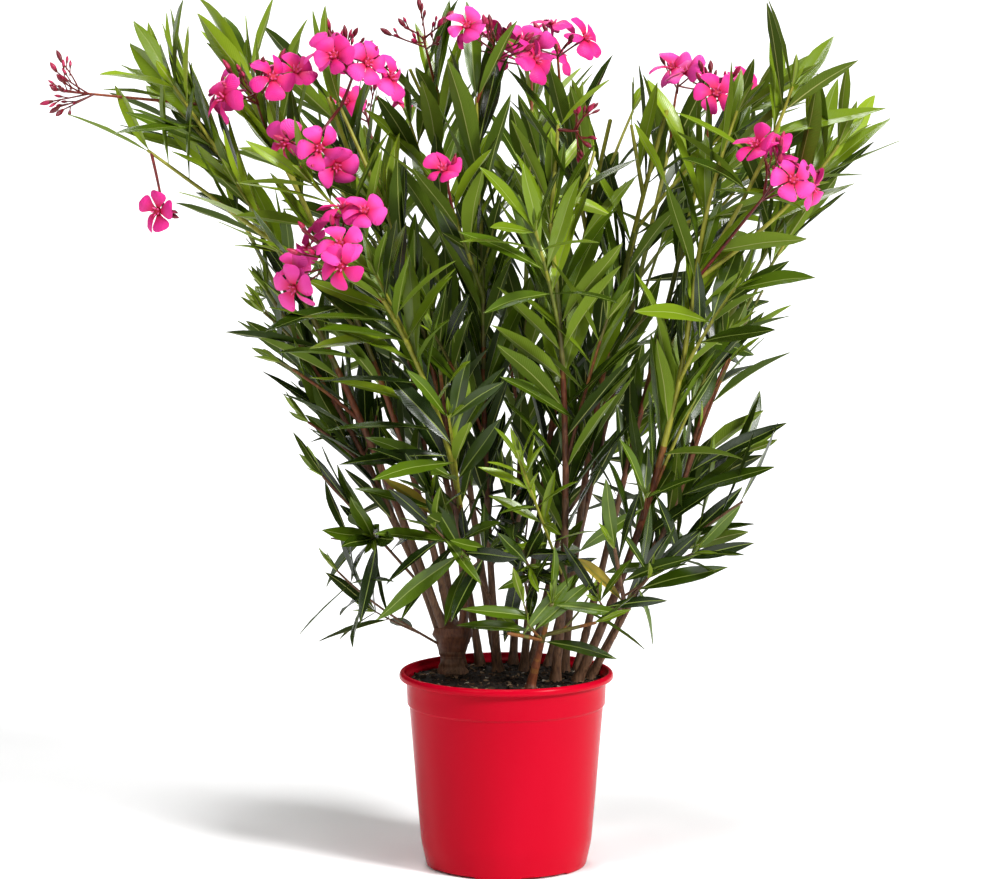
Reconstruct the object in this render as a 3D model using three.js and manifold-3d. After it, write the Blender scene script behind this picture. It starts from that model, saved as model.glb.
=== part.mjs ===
// Potted oleander: a young flowering shrub of many canes in a red nursery pot.
// Millimetres, +Z up. The origin is the middle of the pot's flat underside; the front is -Y.
import * as THREE from 'three';
import { mergeVertices } from 'three/addons/utils/BufferGeometryUtils.js';
import Module from 'manifold-3d';

const wasm = await Module();
wasm.setup();

// ---------------------------------------------------------------- driving dimensions

const CLEARANCE = 0.3; // gap between neighbouring solids
const WELD = 1e-3; // vertices closer than this are one vertex

const POT_HEIGHT = 220;
const POT_RIM_RADIUS = 120;
const POT_FOOT_RADIUS = 89.5;
const POT_WALL = 2;
const POT_BASE = 3;
const POT_SECTORS = 30;
const LIP_HEIGHT = 9;
const BAND_BOTTOM = 184; // lower edge of the plain band under the lip
const FOOT_BEVEL_TOP = 28;
const NOTCH = { count: 5, degrees: 36, height: 2, inner: 80, first: -6.5 - 90 + 36 };
const DRAIN = { radius: 6, at: 68, sides: 6 };

const SOIL_LEVEL = 210;
const CANE_FOOT = SOIL_LEVEL + CLEARANCE;

const STUMP_FOOT = [-61, 43, CANE_FOOT];
const STUMP_TOP = [-60, 49, 264];
const STUMP_RADII = [[0, 17.5], [0.1, 14.5], [0.3, 13.5], [0.55, 17], [0.78, 22], [0.92, 21], [1, 13]];
const STUMP_SIDES = 10;
const FORK = 246; // height at which the stump's canes start, inside it

const LEAF_LENGTH = 135;
const LEAF_THICKNESS = 1 / 85; // of its length
const LEAF_WIDTH = 0.172; // of its length
const LEAF_WIDEST = 0.46; // how far along the leaf its widest place is
const LEAF_ENLARGED = 1.3; // the solids' fewer leaves are this much wider
const LEAF_PITCH = { low: 80, drop: 50, spread: 12 }; // degrees from the stem, least at the tip
const LEAF_ROLL = 35;
const LEAF_ARCH = [0.06, 0.22]; // drop of the leaf's tip, of its length
const LEAVES_IN_WHORL = 3;
const WHORL_STEP = 3; // every third whorl of the living plant is in the solids, counted from the tip
const INTERNODE_LOW = 42;
const INTERNODE_DROP = 16; // internodes shorten by this much towards a tip

const SPACE_MARGIN = 4; // a leaf is this much nearer to its own shoots than to any other
const LIMB_MARGIN = 2.5; // and this far off every bare limb and off its own shoots
const LEAF_MARGIN = 9; // and this far off the middle line of every other leaf of its mass
const POT_MARGIN = 10; // and this far outside the rim, or above it

// How far the crown reaches to the left, the right, and the front and back, as [height, reach].
const CROWN_LEFT = [
  [214, -245], [335, -235], [372, -195], [420, -250], [500, -268], [560, -290], [605, -332],
  [645, -296], [690, -292], [735, -360], [765, -440], [860, -512], [940, -450], [1000, -330],
];
const CROWN_RIGHT = [
  [214, 160], [300, 228], [350, 262], [417, 318], [500, 318], [600, 322], [680, 358], [741, 400],
  [765, 462], [868, 455], [930, 400], [1000, 330],
];
const CROWN_DEPTH = [[214, 150], [400, 215], [600, 290], [800, 375], [1000, 340]];
const CROWN_RAGGED = 0.14; // the leaves stop short of that reach by up to this share of it
const LEAF_TRIES = [[1, 1], [0.7, 1], [0.45, 0.92]]; // shares of [pitch, length], tried in turn

const BLOOM_RADIUS = 25;
const BLOOM_NOTCH = 0.42; // of the radius, between two petals
const BLOOM_DEPTH = 7;
const BUD_RADIUS = 3.2;
const PEDUNCLE_RADIUS = 1.6;
const BUD_STEP = 2; // every second bud of the living plant is in the solids
const SINK = 5; // how far a fork or a stalk starts back inside what carries it

// Canes. foot and tip are the ends of its middle line and bow is how far the middle stands off
// the straight one in X (and Y). It is bare up to the fraction `bare`; above that it is the stem
// of a mass of foliage, with forks that leave it at `from`, `sprays` side shoots that the seeded
// rule adds, and flower heads. A head sits on shoot `on`: 0 is the stem, 1 the first fork.
const CANES = [
  {
    name: 'left_high', foot: [-66, 38, FORK], tip: [-342, 0, 858],
    bow: [18, 0], bare: 0.27, radius: 5, sprays: 3,
    forks: [
      { from: 0.74, tip: [-392, -50, 806], leafy: 0.25 },
      { from: 0.8, tip: [-362, -70, 878], leafy: 0.3 },
    ],
    heads: [
      { on: 0, at: [-484, -10, 868], spread: 30, blooms: 0, buds: 9 },
      { on: 1, at: [-376, -44, 738], spread: 8, blooms: 1, buds: 1 },
    ],
  },
  {
    name: 'left_inner', foot: [-60, 50, FORK], tip: [-262, -40, 825],
    bow: [25, 0], bare: 0.28, radius: 4.6, sprays: 1,
    forks: [{ from: 0.86, tip: [-286, 50, 884] }],
    heads: [{ on: 0, at: [-275, -45, 868], spread: 44, blooms: 6, buds: 5 }],
  },
  {
    name: 'left_front', foot: [-52, 38, FORK], tip: [-132, -170, 654],
    bow: [34, 20], bare: 0.24, radius: 4.6, sprays: 2,
    heads: [{ on: 0, at: [-188, -190, 704], spread: 52, blooms: 8, buds: 4 }],
  },
  {
    name: 'left_mid', foot: [-47, 48, FORK], tip: [-131, -70, 742],
    bow: [21, 2], bare: 0.28, radius: 4.6, sprays: 2,
    forks: [{ from: 1, tip: [-183, -60, 858], leafy: 0.9 }],
    heads: [
      { on: 1, at: [-165, -62, 896], spread: 40, blooms: 6, buds: 6 },
      { on: 1, at: [-214, -90, 808], spread: 32, blooms: 3, buds: 3 },
    ],
  },
  {
    name: 'left_back', foot: [-30, 92, CANE_FOOT], tip: [-203, 170, 851],
    bow: [20, 0], bare: 0.28, radius: 4.6, sprays: 2,
    heads: [{ on: 0, at: [-190, 170, 905], spread: 25, blooms: 0, buds: 5 }],
  },
  {
    name: 'left_low', foot: [-73, 52, FORK], tip: [-268, 60, 640],
    bow: [16, 0], bare: 0.27, radius: 4.2, sprays: 2,
  },
  {
    name: 'centre', foot: [-9, 55, CANE_FOOT], tip: [-25, -40, 650],
    bow: [-5, 0], bare: 0.24, radius: 5, sprays: 1,
    forks: [{ from: 1, tip: [-59, -90, 745], leafy: 0 }, { from: 1, tip: [-33, -30, 862], leafy: 0 }],
    heads: [
      { on: 1, at: [-64, -90, 782], spread: 10, blooms: 1, buds: 3 },
      { on: 2, at: [-8, -30, 914], spread: 42, blooms: 4, buds: 7 },
    ],
  },
  {
    name: 'top_mid', foot: [-10, 86, CANE_FOOT], tip: [-77, 60, 866],
    bow: [-12, 10], bare: 0.26, radius: 4.6, sprays: 2,
    forks: [{ from: 0.93, tip: [-107, 40, 890] }],
    heads: [{ on: 0, at: [-92, 30, 925], spread: 34, blooms: 0, buds: 7 }],
  },
  {
    name: 'top_right', foot: [20, 52, CANE_FOOT], tip: [117, 90, 831],
    bow: [-12, 0], bare: 0.26, radius: 4.6, sprays: 2,
    forks: [{ from: 0.8, tip: [60, 60, 860], leafy: 0.2 }],
    heads: [{ on: 1, at: [56, 40, 916], spread: 32, blooms: 3, buds: 2 }],
  },
  {
    name: 'front', foot: [55, -7, CANE_FOOT], tip: [47, -110, 731],
    bow: [14, 0], bare: 0.27, radius: 5.2, sprays: 2,
    forks: [
      { from: 1, tip: [56, -90, 836], leafy: 0 },
      { from: 0.97, tip: [96, -60, 805], bow: [6, 0], leafy: 0.2 },
    ],
    heads: [{ on: 1, at: [76, -95, 830], spread: 26, blooms: 0, buds: 5 }],
  },
  {
    name: 'right', foot: [80, -9, CANE_FOOT], tip: [205, -110, 673],
    bow: [20, 0], bare: 0.26, radius: 5.4, sprays: 2,
    forks: [
      { from: 1, tip: [251, -70, 850], bow: [-6, 0] },
      { from: 1, tip: [309, -100, 878], bow: [8, 0], leafy: 0.35 },
      { from: 1, tip: [362, -60, 812], bow: [14, 0], leafy: 0.3 },
    ],
    heads: [{ on: 0, at: [296, -150, 788], spread: 38, blooms: 6, buds: 5 }],
  },
  {
    name: 'right_lean', foot: [66, 46, CANE_FOOT], tip: [179, 50, 844],
    bow: [-18, 0], bare: 0.28, radius: 4.8, sprays: 2,
    forks: [{ from: 0.85, tip: [138, 10, 830], leafy: 0.2 }],
  },
  {
    name: 'right_bloom', foot: [80, 57, CANE_FOOT], tip: [226, 100, 800],
    bow: [0, 0], bare: 0.28, radius: 4.4, sprays: 2,
    heads: [{ on: 0, at: [234, 85, 864], spread: 36, blooms: 4, buds: 4 }],
  },
  {
    name: 'far_right', foot: [97, 34, CANE_FOOT], tip: [256, 60, 670],
    bow: [24, 0], bare: 0.27, radius: 4.8, sprays: 3,
    forks: [{ from: 0.85, tip: [340, 20, 780] }],
  },
  {
    name: 'right_low', foot: [94, 10, CANE_FOOT], tip: [214, -60, 500],
    bow: [10, 0], bare: 0.2, radius: 4, sprays: 2,
  },
  {
    name: 'back_left', foot: [-50, 86, CANE_FOOT], tip: [-150, 300, 760],
    bow: [0, -20], bare: 0.27, radius: 4.4, sprays: 2,
    heads: [{ on: 0, at: [-165, 318, 828], spread: 36, blooms: 2, buds: 3 }],
  },
  {
    name: 'back_mid', foot: [8, 98, CANE_FOOT], tip: [30, 300, 830],
    bow: [0, -20], bare: 0.26, radius: 4.4, sprays: 2,
    heads: [{ on: 0, at: [30, 312, 893], spread: 36, blooms: 3, buds: 3 }],
  },
  {
    name: 'back_right', foot: [48, 84, CANE_FOOT], tip: [192, 250, 802],
    bow: [0, -20], bare: 0.27, radius: 4.4, sprays: 2,
    heads: [{ on: 0, at: [200, 260, 865], spread: 34, blooms: 2, buds: 3 }],
  },
  {
    name: 'back_out', foot: [-62, 61, FORK], tip: [-300, 210, 700],
    bow: [0, 0], bare: 0.3, radius: 4.2, sprays: 2,
  },
  {
    name: 'back_low', foot: [28, 90, CANE_FOOT], tip: [110, 270, 560],
    bow: [0, -20], bare: 0.26, radius: 4.2, sprays: 2,
  },
  {
    name: 'low_front', foot: [27, -50, CANE_FOOT], tip: [50, -94, 312],
    bow: [0, 10], bare: 0.36, radius: 5,
    sprays: 0, leafSize: 0.72, droop: 36,
    forks: [
      { from: 0.6, tip: [98, -104, 292], leafy: 0.3 },
      { from: 0.55, tip: [2, -116, 282], leafy: 0.3 },
    ],
  },
  // Thin shoots without a bare cane: each grows out of a cane, and the last one out of the stump.
  {
    name: 'young', growsFrom: ['front', 0.23], tip: [14, -112, 474],
    bow: [0, 0], bare: 0, radius: 2.2,
    sprays: 0, leafSize: 0.5,
  },
  {
    name: 'low_left', growsFrom: ['left_low', 0.15], tip: [-206, 30, 436],
    bow: [0, 0], bare: 0, radius: 2.3,
    sprays: 0, leafSize: 0.8, leafy: 0.3,
    forks: [{ from: 0.4, tip: [-148, -20, 372], leafy: 0.2 }],
  },
  {
    name: 'low_mid', growsFrom: ['centre', 0.18], tip: [-82, -72, 428],
    bow: [0, 0], bare: 0, radius: 2.3,
    sprays: 0, leafSize: 0.8, leafy: 0.25,
    forks: [{ from: 0.5, tip: [-48, -108, 366], leafy: 0.15 }],
  },
  {
    name: 'low_centre', growsFrom: ['top_right', 0.12], tip: [0, -28, 432],
    bow: [0, 0], bare: 0, radius: 2.3,
    sprays: 0, leafSize: 0.8, leafy: 0.25,
    forks: [{ from: 0.5, tip: [24, -84, 352], leafy: 0.2 }],
  },
  {
    name: 'low_right', growsFrom: ['right', 0.13], tip: [156, -92, 340],
    bow: [0, 0], bare: 0, radius: 2.3,
    sprays: 0, leafSize: 0.8, leafy: 0.3,
    forks: [{ from: 0.5, tip: [118, -114, 376], leafy: 0.2 }],
  },
  {
    name: 'whip', growsFrom: ['stump'], foot: [-66, 46, 236], tip: [-190, 20, 330],
    bow: [-10, 0], bare: 0, radius: 1.9,
    sprays: 0, leafSize: 0.72, leafy: 0.5, droop: 18,
  },
];
const CANE_SIDES = 6;
const TWIG_SIDES = 3;
const CANE_FLARE = [[0, 1.45], [0.08, 1.06]]; // [share of the bare length, of the radius]
const CANE_TAPER = 0.82; // radius at the top of the bare stretch, of the foot radius
const STEM_TIP_RADIUS = 2.4;
const TWIG_RADII = [2.8, 1.8];
const SPRAY_RADII = [2.3, 1.5];
const SPRAY = { reach: [150, 220], lean: 0.3, outward: 0.35, sag: 8 };
const SPRAY_LEAVES = { leafy: 0.3, size: 0.88 };
const CROWN_MIDDLE_Y = 60; // the side shoots grow away from the upright line at X 0 and this Y
const SPRAY_SHORTER = 0.9; // a side shoot is cut by this factor until its tip is well inside the crown
const SPRAY_INSIDE = 0.86; // of the crown's reach
const GOLDEN_TURN = 137.5; // degrees between one side shoot, flower or bud and the next

const FINISH = {
  pot: { color: 0xd80c2c, roughness: 0.3 },
  soil: { color: 0x241c17, roughness: 1 },
  bark: { color: 0x6b4433, roughness: 0.85 },
  foliage: { color: 0x4a7a1c, roughness: 0.5 },
};

// ---------------------------------------------------------------- small helpers

const UP = new THREE.Vector3(0, 0, 1);
const radians = THREE.MathUtils.degToRad;

/** A run of random numbers from 0 to 1 that depends only on the keys. */
function draws(...keys) {
  let state = 2166136261;
  for (const key of keys) state = Math.imul(state ^ key, 16777619);
  return () => {
    state = (state + 0x6d2b79f5) | 0;
    let mixed = Math.imul(state ^ (state >>> 15), state | 1);
    mixed ^= mixed + Math.imul(mixed ^ (mixed >>> 7), mixed | 61);
    return ((mixed ^ (mixed >>> 14)) >>> 0) / 4294967296;
  };
}

function vector(values) {
  return new THREE.Vector3(...values);
}

/** A point plus any number of [direction, distance] steps. */
function offset(point, ...steps) {
  const moved = point.clone();
  for (const [direction, distance] of steps) moved.addScaledVector(direction, distance);
  return moved;
}

/** A curve from a to b whose middle stands off the straight line by bow. */
function bowed(a, b, bow = [0, 0]) {
  const control = a.clone().add(b).multiplyScalar(0.5);
  control.x += 2 * bow[0];
  control.y += 2 * bow[1];
  return new THREE.QuadraticBezierCurve3(a, control, b);
}

/** Two directions square to the given one and to each other. */
function across(direction) {
  const first = new THREE.Vector3().crossVectors(direction, new THREE.Vector3(0.3, 1, 0.1)).normalize();
  return [first, new THREE.Vector3().crossVectors(direction, first)];
}

/** Reads a list of [place, value] pairs at a place between them. */
function along(pairs, place) {
  const next = pairs.findIndex(([at]) => at >= place);
  if (next <= 0) return next === 0 ? pairs[0][1] : pairs.at(-1)[1];
  const [a, low] = pairs[next - 1];
  const [b, high] = pairs[next];
  return low + ((high - low) * (place - a)) / (b - a);
}

// ---------------------------------------------------------------- solids

function solidOf(geometry) {
  geometry.deleteAttribute('normal');
  geometry.deleteAttribute('uv');
  const welded = mergeVertices(geometry, WELD);
  return new wasm.Manifold(
    new wasm.Mesh({
      numProp: 3,
      vertProperties: new Float32Array(welded.attributes.position.array),
      triVerts: new Uint32Array(welded.index.array),
    }),
  );
}

function geometryOf(solid) {
  const mesh = solid.getMesh();
  const geometry = new THREE.BufferGeometry();
  geometry.setAttribute('position', new THREE.BufferAttribute(mesh.vertProperties, 3));
  geometry.setIndex(new THREE.BufferAttribute(mesh.triVerts, 1));
  geometry.computeVertexNormals();
  return geometry;
}

/** Moves every vertex of a geometry to where place(x, y, z) says. */
function reshape(geometry, place) {
  const positions = geometry.attributes.position;
  for (let i = 0; i < positions.count; i += 1) {
    const moved = place(positions.getX(i), positions.getY(i), positions.getZ(i));
    positions.setXYZ(i, moved.x, moved.y, moved.z);
  }
  return geometry;
}

/**
 * A round limb along a curve from t0 to t1; radiusAt gives its radius at 0 to 1 of the stretch.
 * Its lower end is cut level at footHeight where that is given, and otherwise square to the limb.
 */
function limb(curve, t0, t1, stations, sides, radiusAt, footHeight) {
  const [first] = across(curve.getTangent((t0 + t1) / 2));
  const barrel = new THREE.CylinderGeometry(1, 1, stations.length - 1, sides, stations.length - 1);
  return solidOf(
    reshape(barrel, (x, y, z) => {
      const place = stations[Math.round(y + (stations.length - 1) / 2)];
      const t = t0 + (t1 - t0) * place;
      const tangent = curve.getTangent(t);
      const side = offset(first, [tangent, -first.dot(tangent)]).normalize();
      const other = new THREE.Vector3().crossVectors(side, tangent);
      const radius = radiusAt(place);
      const moved = offset(curve.getPoint(t), [side, x * radius], [other, z * radius]);
      if (place === 0 && footHeight !== undefined) moved.z = footHeight;
      return moved;
    }),
  );
}

/** Even stations from 0 to 1, enough of them that straight pieces follow the bow closely. */
function evenStations(bow, fewest) {
  const pieces = Math.max(fewest, Math.ceil(Math.sqrt(bow / 0.9)));
  return Array.from({ length: pieces + 1 }, (_, i) => i / pieces);
}

function lathe(profile) {
  const points = profile.map(([radius, height]) => new THREE.Vector2(radius, height));
  return solidOf(new THREE.LatheGeometry(points, POT_SECTORS).rotateX(Math.PI / 2));
}

// ---------------------------------------------------------------- pot and soil

/** Radius of the pot's outer wall, from the foot's bevel up to the lip. */
const POT_BODY = [[0, POT_FOOT_RADIUS], [3, 90.5], [FOOT_BEVEL_TOP, 96], [BAND_BOTTOM - 3, 108.8],
  [BAND_BOTTOM, 111], [POT_HEIGHT - LIP_HEIGHT, 112]];

function potSolid() {
  const outside = POT_BODY.map(([height, radius]) => [radius, height]);
  const lip = [
    [POT_RIM_RADIUS - 1, POT_HEIGHT - LIP_HEIGHT + 0.5],
    [POT_RIM_RADIUS, POT_HEIGHT - LIP_HEIGHT + 2.5],
    [POT_RIM_RADIUS, POT_HEIGHT - 4],
    [POT_RIM_RADIUS - 1.4, POT_HEIGHT - 1],
    [POT_RIM_RADIUS - 4, POT_HEIGHT],
    [POT_RIM_RADIUS - 6, POT_HEIGHT - 1],
    [POT_RIM_RADIUS - 6.8, POT_HEIGHT - 6],
  ];
  const inside = innerWall(POT_WALL).map(([height, radius]) => [radius, height]).reverse();
  const shell = lathe([[0, 0], ...outside, ...lip, ...inside, [0, POT_BASE]]);
  return shell.subtract(wasm.Manifold.union([...footNotches(), ...drainHoles()]));
}

/** The pot's outer wall moved inwards, from the base's upper side to just under the lip. */
function innerWall(inset) {
  const wall = POT_BODY.filter(([height]) => height > POT_BASE);
  const foot = [POT_BASE, along(POT_BODY, POT_BASE) - 0.5];
  return [foot, ...wall].map(([height, radius]) => [height, radius - inset]);
}

function footNotches() {
  return Array.from({ length: NOTCH.count }, (_, i) => {
    const middle = radians(NOTCH.first + (360 / NOTCH.count) * i);
    const half = radians(NOTCH.degrees / 2);
    const sector = new THREE.Shape();
    sector.absarc(0, 0, POT_RIM_RADIUS, middle - half, middle + half, false);
    sector.absarc(0, 0, NOTCH.inner, middle + half, middle - half, true);
    const cutter = new THREE.ExtrudeGeometry(sector, {
      depth: 2 * NOTCH.height, bevelEnabled: false, curveSegments: 4,
    });
    return solidOf(cutter.translate(0, 0, -NOTCH.height));
  });
}

function drainHoles() {
  return Array.from({ length: NOTCH.count }, (_, i) => {
    const middle = radians(NOTCH.first + (360 / NOTCH.count) * i);
    const cutter = new THREE.CylinderGeometry(DRAIN.radius, DRAIN.radius, 4 * POT_BASE, DRAIN.sides);
    cutter.rotateX(Math.PI / 2);
    return solidOf(cutter.translate(DRAIN.at * Math.cos(middle), DRAIN.at * Math.sin(middle), 0));
  });
}

function soilSolid() {
  const wall = innerWall(POT_WALL + CLEARANCE);
  const shoulder = along(wall, SOIL_LEVEL);
  const side = wall.slice(1, -1).map(([height, radius]) => [radius, height]);
  const bottom = POT_BASE + CLEARANCE;
  return lathe([[0, bottom], [wall[0][1], bottom], ...side, [shoulder, SOIL_LEVEL], [0, SOIL_LEVEL]]);
}

// ---------------------------------------------------------------- how the shrub grows

/** A leafy shoot: the stretch of a curve from t0 to t1 that carries whorls of leaves. */
function shoot(curve, { t0 = 0, leafy = 0.1, size = 1, droop = 0, bow = [0, 0], radii, fewest = 1 }) {
  const length = curve.getLength() * (1 - t0);
  return { curve, t0, leafy, size, droop, length, bow: Math.hypot(...bow) * (1 - t0) ** 2, radii, fewest };
}

/** The middle line of a cane, which starts at its own foot or part of the way up another cane. */
function caneCurve({ foot, growsFrom, tip, bow }) {
  if (foot) return bowed(vector(foot), vector(tip), bow);
  const [host, at] = growsFrom;
  return bowed(caneCurve(CANES.find(({ name }) => name === host)).getPoint(at), vector(tip), bow);
}

/** The stem of a mass, its forks, and the side shoots that the seeded rule adds. */
function growShoots(cane, index) {
  const { bow, bare, radius, forks = [], sprays, leafSize = 1, leafy = 0.03, droop } = cane;
  const curve = caneCurve(cane);
  const start = bare === 0 ? 0 : bare + CLEARANCE / curve.getLength();
  const tipRadius = Math.min(STEM_TIP_RADIUS, radius * 0.6);
  const stem = shoot(curve, {
    t0: start, leafy, size: leafSize, droop, bow, radii: [radius * CANE_TAPER, tipRadius], fewest: 3,
  });
  const shoots = [stem];
  for (const fork of forks) {
    const from = Math.min(fork.from, 1 - SINK / curve.getLength());
    const branch = bowed(curve.getPoint(from), vector(fork.tip), fork.bow);
    const habit = { leafy: fork.leafy, size: leafSize, droop, bow: fork.bow, radii: TWIG_RADII };
    shoots.push(shoot(branch, habit));
  }
  for (let k = 0; k < sprays; k += 1) {
    const random = draws(index, 500 + k);
    const from = bare + (1 - bare) * (0.06 + (0.76 * (k + 0.3 + 0.4 * random())) / sprays);
    const tangent = curve.getTangent(from);
    const [first, second] = across(tangent);
    const turn = radians(GOLDEN_TURN * k + 67 * index + 30 * random());
    const root = curve.getPoint(from);
    const away = new THREE.Vector3(root.x, root.y - CROWN_MIDDLE_Y, 0).normalize();
    const { lean, outward } = SPRAY;
    const leant = offset(tangent, [first, lean * Math.cos(turn)], [second, lean * Math.sin(turn)]);
    const way = offset(leant, [away, outward]).normalize();
    const [least, most] = SPRAY.reach;
    let reach = (least + (most - least) * random()) * (1.25 - 0.5 * from);
    while (reach > least / 3 && !insideCrown(offset(root, [way, reach]), SPRAY_INSIDE)) {
      reach *= SPRAY_SHORTER;
    }
    const sag = [-SPRAY.sag * way.x, -SPRAY.sag * way.y];
    const branch = bowed(root, offset(root, [way, reach]), sag);
    shoots.push(shoot(branch, { ...SPRAY_LEAVES, bow: sag, radii: SPRAY_RADII }));
  }
  return shoots;
}

/** Where the flowers and buds of a head sit: on spiral places round its middle, buds innermost. */
function growHeads(cane, shoots, index) {
  return (cane.heads ?? []).map((head, number) => {
    const carrier = shoots[head.on];
    const root = carrier.curve.getPoint(1 - SINK / carrier.curve.getLength());
    const middle = vector(head.at);
    const up = middle.clone().sub(root).normalize();
    const [first, second] = across(up);
    const count = head.blooms + head.buds;
    const places = Array.from({ length: count }, (_, k) => {
      const random = draws(index, 700 + number, k);
      const turn = radians(GOLDEN_TURN * k + 40 * random());
      const share = Math.sqrt((k + 0.5) / count);
      const out = head.spread * (0.25 + 0.95 * share);
      const place = offset(middle, [first, out * Math.cos(turn)], [second, out * Math.sin(turn)]);
      return offset(place, [up, 0.5 * head.spread * (1 - share * share)], [UP, 10 * random()]);
    });
    return { root, middle, buds: places.slice(0, head.buds), blooms: places.slice(head.buds) };
  });
}

/** A straight piece of a shoot, stalk or limb, kept for measuring distances to it. */
function piece(a, b, owner, radius = 0) {
  const run = b.clone().sub(a);
  return { a, run, square: Math.max(run.lengthSq(), 1e-9), owner, radius };
}

function piecesOf(curve, t0, t1, count, owner, radius) {
  return Array.from({ length: count }, (_, i) => {
    const from = t0 + ((t1 - t0) * i) / count;
    const to = t0 + ((t1 - t0) * (i + 1)) / count;
    return piece(curve.getPoint(from), curve.getPoint(to), owner, radius);
  });
}

function distance(point, { a, run, square, radius }) {
  const x = point.x - a.x;
  const y = point.y - a.y;
  const z = point.z - a.z;
  const t = Math.min(1, Math.max(0, (x * run.x + y * run.y + z * run.z) / square));
  return Math.hypot(x - t * run.x, y - t * run.y, z - t * run.z) - radius;
}

/** True where a point is within a share of the crown's reach. */
function insideCrown({ x, y, z }, share) {
  const aside = x < 0 ? x / along(CROWN_LEFT, z) : x / along(CROWN_RIGHT, z);
  return aside <= share && Math.abs(y - CROWN_MIDDLE_Y) <= share * along(CROWN_DEPTH, z);
}

/** True where every point is in its mass's own space: nearest to its shoots, off limbs and pot. */
function keepsToSpace(points, owner, space, share) {
  return points.every((point) => {
    if (!insideCrown(point, share)) return false;
    const near = Math.hypot(point.x, point.y);
    if (point.z < SOIL_LEVEL + 4) return false;
    if (point.z < POT_HEIGHT + 12 && near < POT_RIM_RADIUS + POT_MARGIN) return false;
    if (space.limbs.some((bare) => distance(point, bare) < LIMB_MARGIN)) return false;
    if (space.guards.some((bloom) => distance(point, bloom) < 0)) return false;
    let own = Infinity;
    let other = Infinity;
    for (const living of space.shoots) {
      const gap = distance(point, living);
      if (living.owner === owner) own = Math.min(own, gap);
      else other = Math.min(other, gap);
    }
    return own >= LIMB_MARGIN && own + SPACE_MARGIN <= other;
  });
}

/** The middle line of a leaf as two straight pieces, which the next leaves of its mass keep off. */
function leafPieces(leaf) {
  const middle = leafPoint(leaf, LEAF_WIDEST);
  return [piece(leaf.root, middle), piece(middle, leafPoint(leaf, 1))];
}

/** The round space that a flower fills, which leaves keep out of. */
function bloomGuard(middle, place) {
  return piece(place, offset(place, [place.clone().sub(middle).normalize(), 4]), undefined, BLOOM_RADIUS);
}

function clearOf(points, pieces) {
  return points.every((point) => pieces.every((other) => distance(point, other) >= LEAF_MARGIN));
}

/** Half the width of a leaf at a share t of its length. */
function halfWidth(length, t) {
  return (length * LEAF_WIDTH * 0.5) * Math.sin(Math.PI * Math.min(1, 0.96 * t + 0.03) ** 0.85) ** 0.9;
}

/** The middle line of a leaf: straight out along its way, then arching over and down. */
function leafPoint(leaf, t) {
  const drop = leaf.length * leaf.arch * t * t;
  return offset(leaf.root, [leaf.way, leaf.length * t], [leaf.face, -0.45 * drop], [UP, -0.55 * drop]);
}

/** Points over the whole leaf beyond its root, for testing that it keeps to its space. */
function leafSamples(leaf) {
  const middle = [0.25, 0.38, 0.5, 0.62, 0.75, 0.88, 1].map((t) => leafPoint(leaf, t));
  const edges = [0.25, 0.45, 0.65, 0.82].flatMap((t) => {
    const half = halfWidth(leaf.length, t) * LEAF_ENLARGED;
    return [offset(leafPoint(leaf, t), [leaf.side, half]), offset(leafPoint(leaf, t), [leaf.side, -half])];
  });
  return [...middle, ...edges];
}

/** A leaf at a root, leaning out from the shoot by pitch and turned about its own length by roll. */
function leafAt(root, tangent, out, pitch, roll, length, arch) {
  const way = offset(tangent.clone().multiplyScalar(Math.cos(pitch)), [out, Math.sin(pitch)]);
  const flat = offset(tangent.clone().multiplyScalar(Math.sin(pitch)), [out, -Math.cos(pitch)]);
  const sideways = way.clone().cross(flat);
  const face = offset(flat.clone().multiplyScalar(Math.cos(roll)), [sideways, Math.sin(roll)]);
  return { root, way, face, side: way.clone().cross(face), length, arch };
}

/** Whorls of three leaves down a shoot from its tip, steeper and shorter towards the tip. */
function growLeaves(branch, owner, number, space, taken) {
  const leaves = [];
  let at = branch.length - 3;
  for (let whorl = 0; at >= branch.leafy * branch.length; whorl += 1) {
    const x = (at / branch.length - branch.leafy) / (1 - branch.leafy);
    const t = branch.t0 + (1 - branch.t0) * (at / branch.length);
    const root = branch.curve.getPoint(t);
    const tangent = branch.curve.getTangent(t);
    const [first, second] = across(tangent);
    for (let k = 0; k < LEAVES_IN_WHORL && whorl % WHORL_STEP === 0; k += 1) {
      const random = draws(owner, number, whorl, k);
      const turn = radians(60 * whorl + 120 * k + 40 * owner + 25 * number + 22 * (2 * random() - 1));
      const out = offset(first.clone().multiplyScalar(Math.cos(turn)), [second, Math.sin(turn)]);
      const lean = LEAF_PITCH.low - LEAF_PITCH.drop * x + branch.droop;
      const pitch = radians(lean + LEAF_PITCH.spread * (2 * random() - 1));
      const full = LEAF_LENGTH * branch.size * (0.84 + 0.62 * x - 0.66 * x * x) * (0.88 + 0.26 * random());
      const [least, most] = LEAF_ARCH;
      const arch = (least + (most - least) * random()) * (1 - 0.4 * x);
      const roll = radians(LEAF_ROLL * (2 * random() - 1));
      const share = 1 - CROWN_RAGGED * random();
      const leaf = LEAF_TRIES.map(([part, size]) =>
        leafAt(root, tangent, out, pitch * part, roll, full * size, arch * (0.4 + 0.6 * part)),
      ).find((tried) => {
        const points = leafSamples(tried);
        return clearOf(points, taken) && keepsToSpace(points, owner, space, share);
      });
      if (leaf) {
        leaves.push(leaf);
        taken.push(...leafPieces(leaf));
      }
    }
    at -= (INTERNODE_LOW - INTERNODE_DROP * x) * (0.55 + 0.45 * branch.size);
  }
  return leaves;
}

// ---------------------------------------------------------------- solids of the shrub

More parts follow.
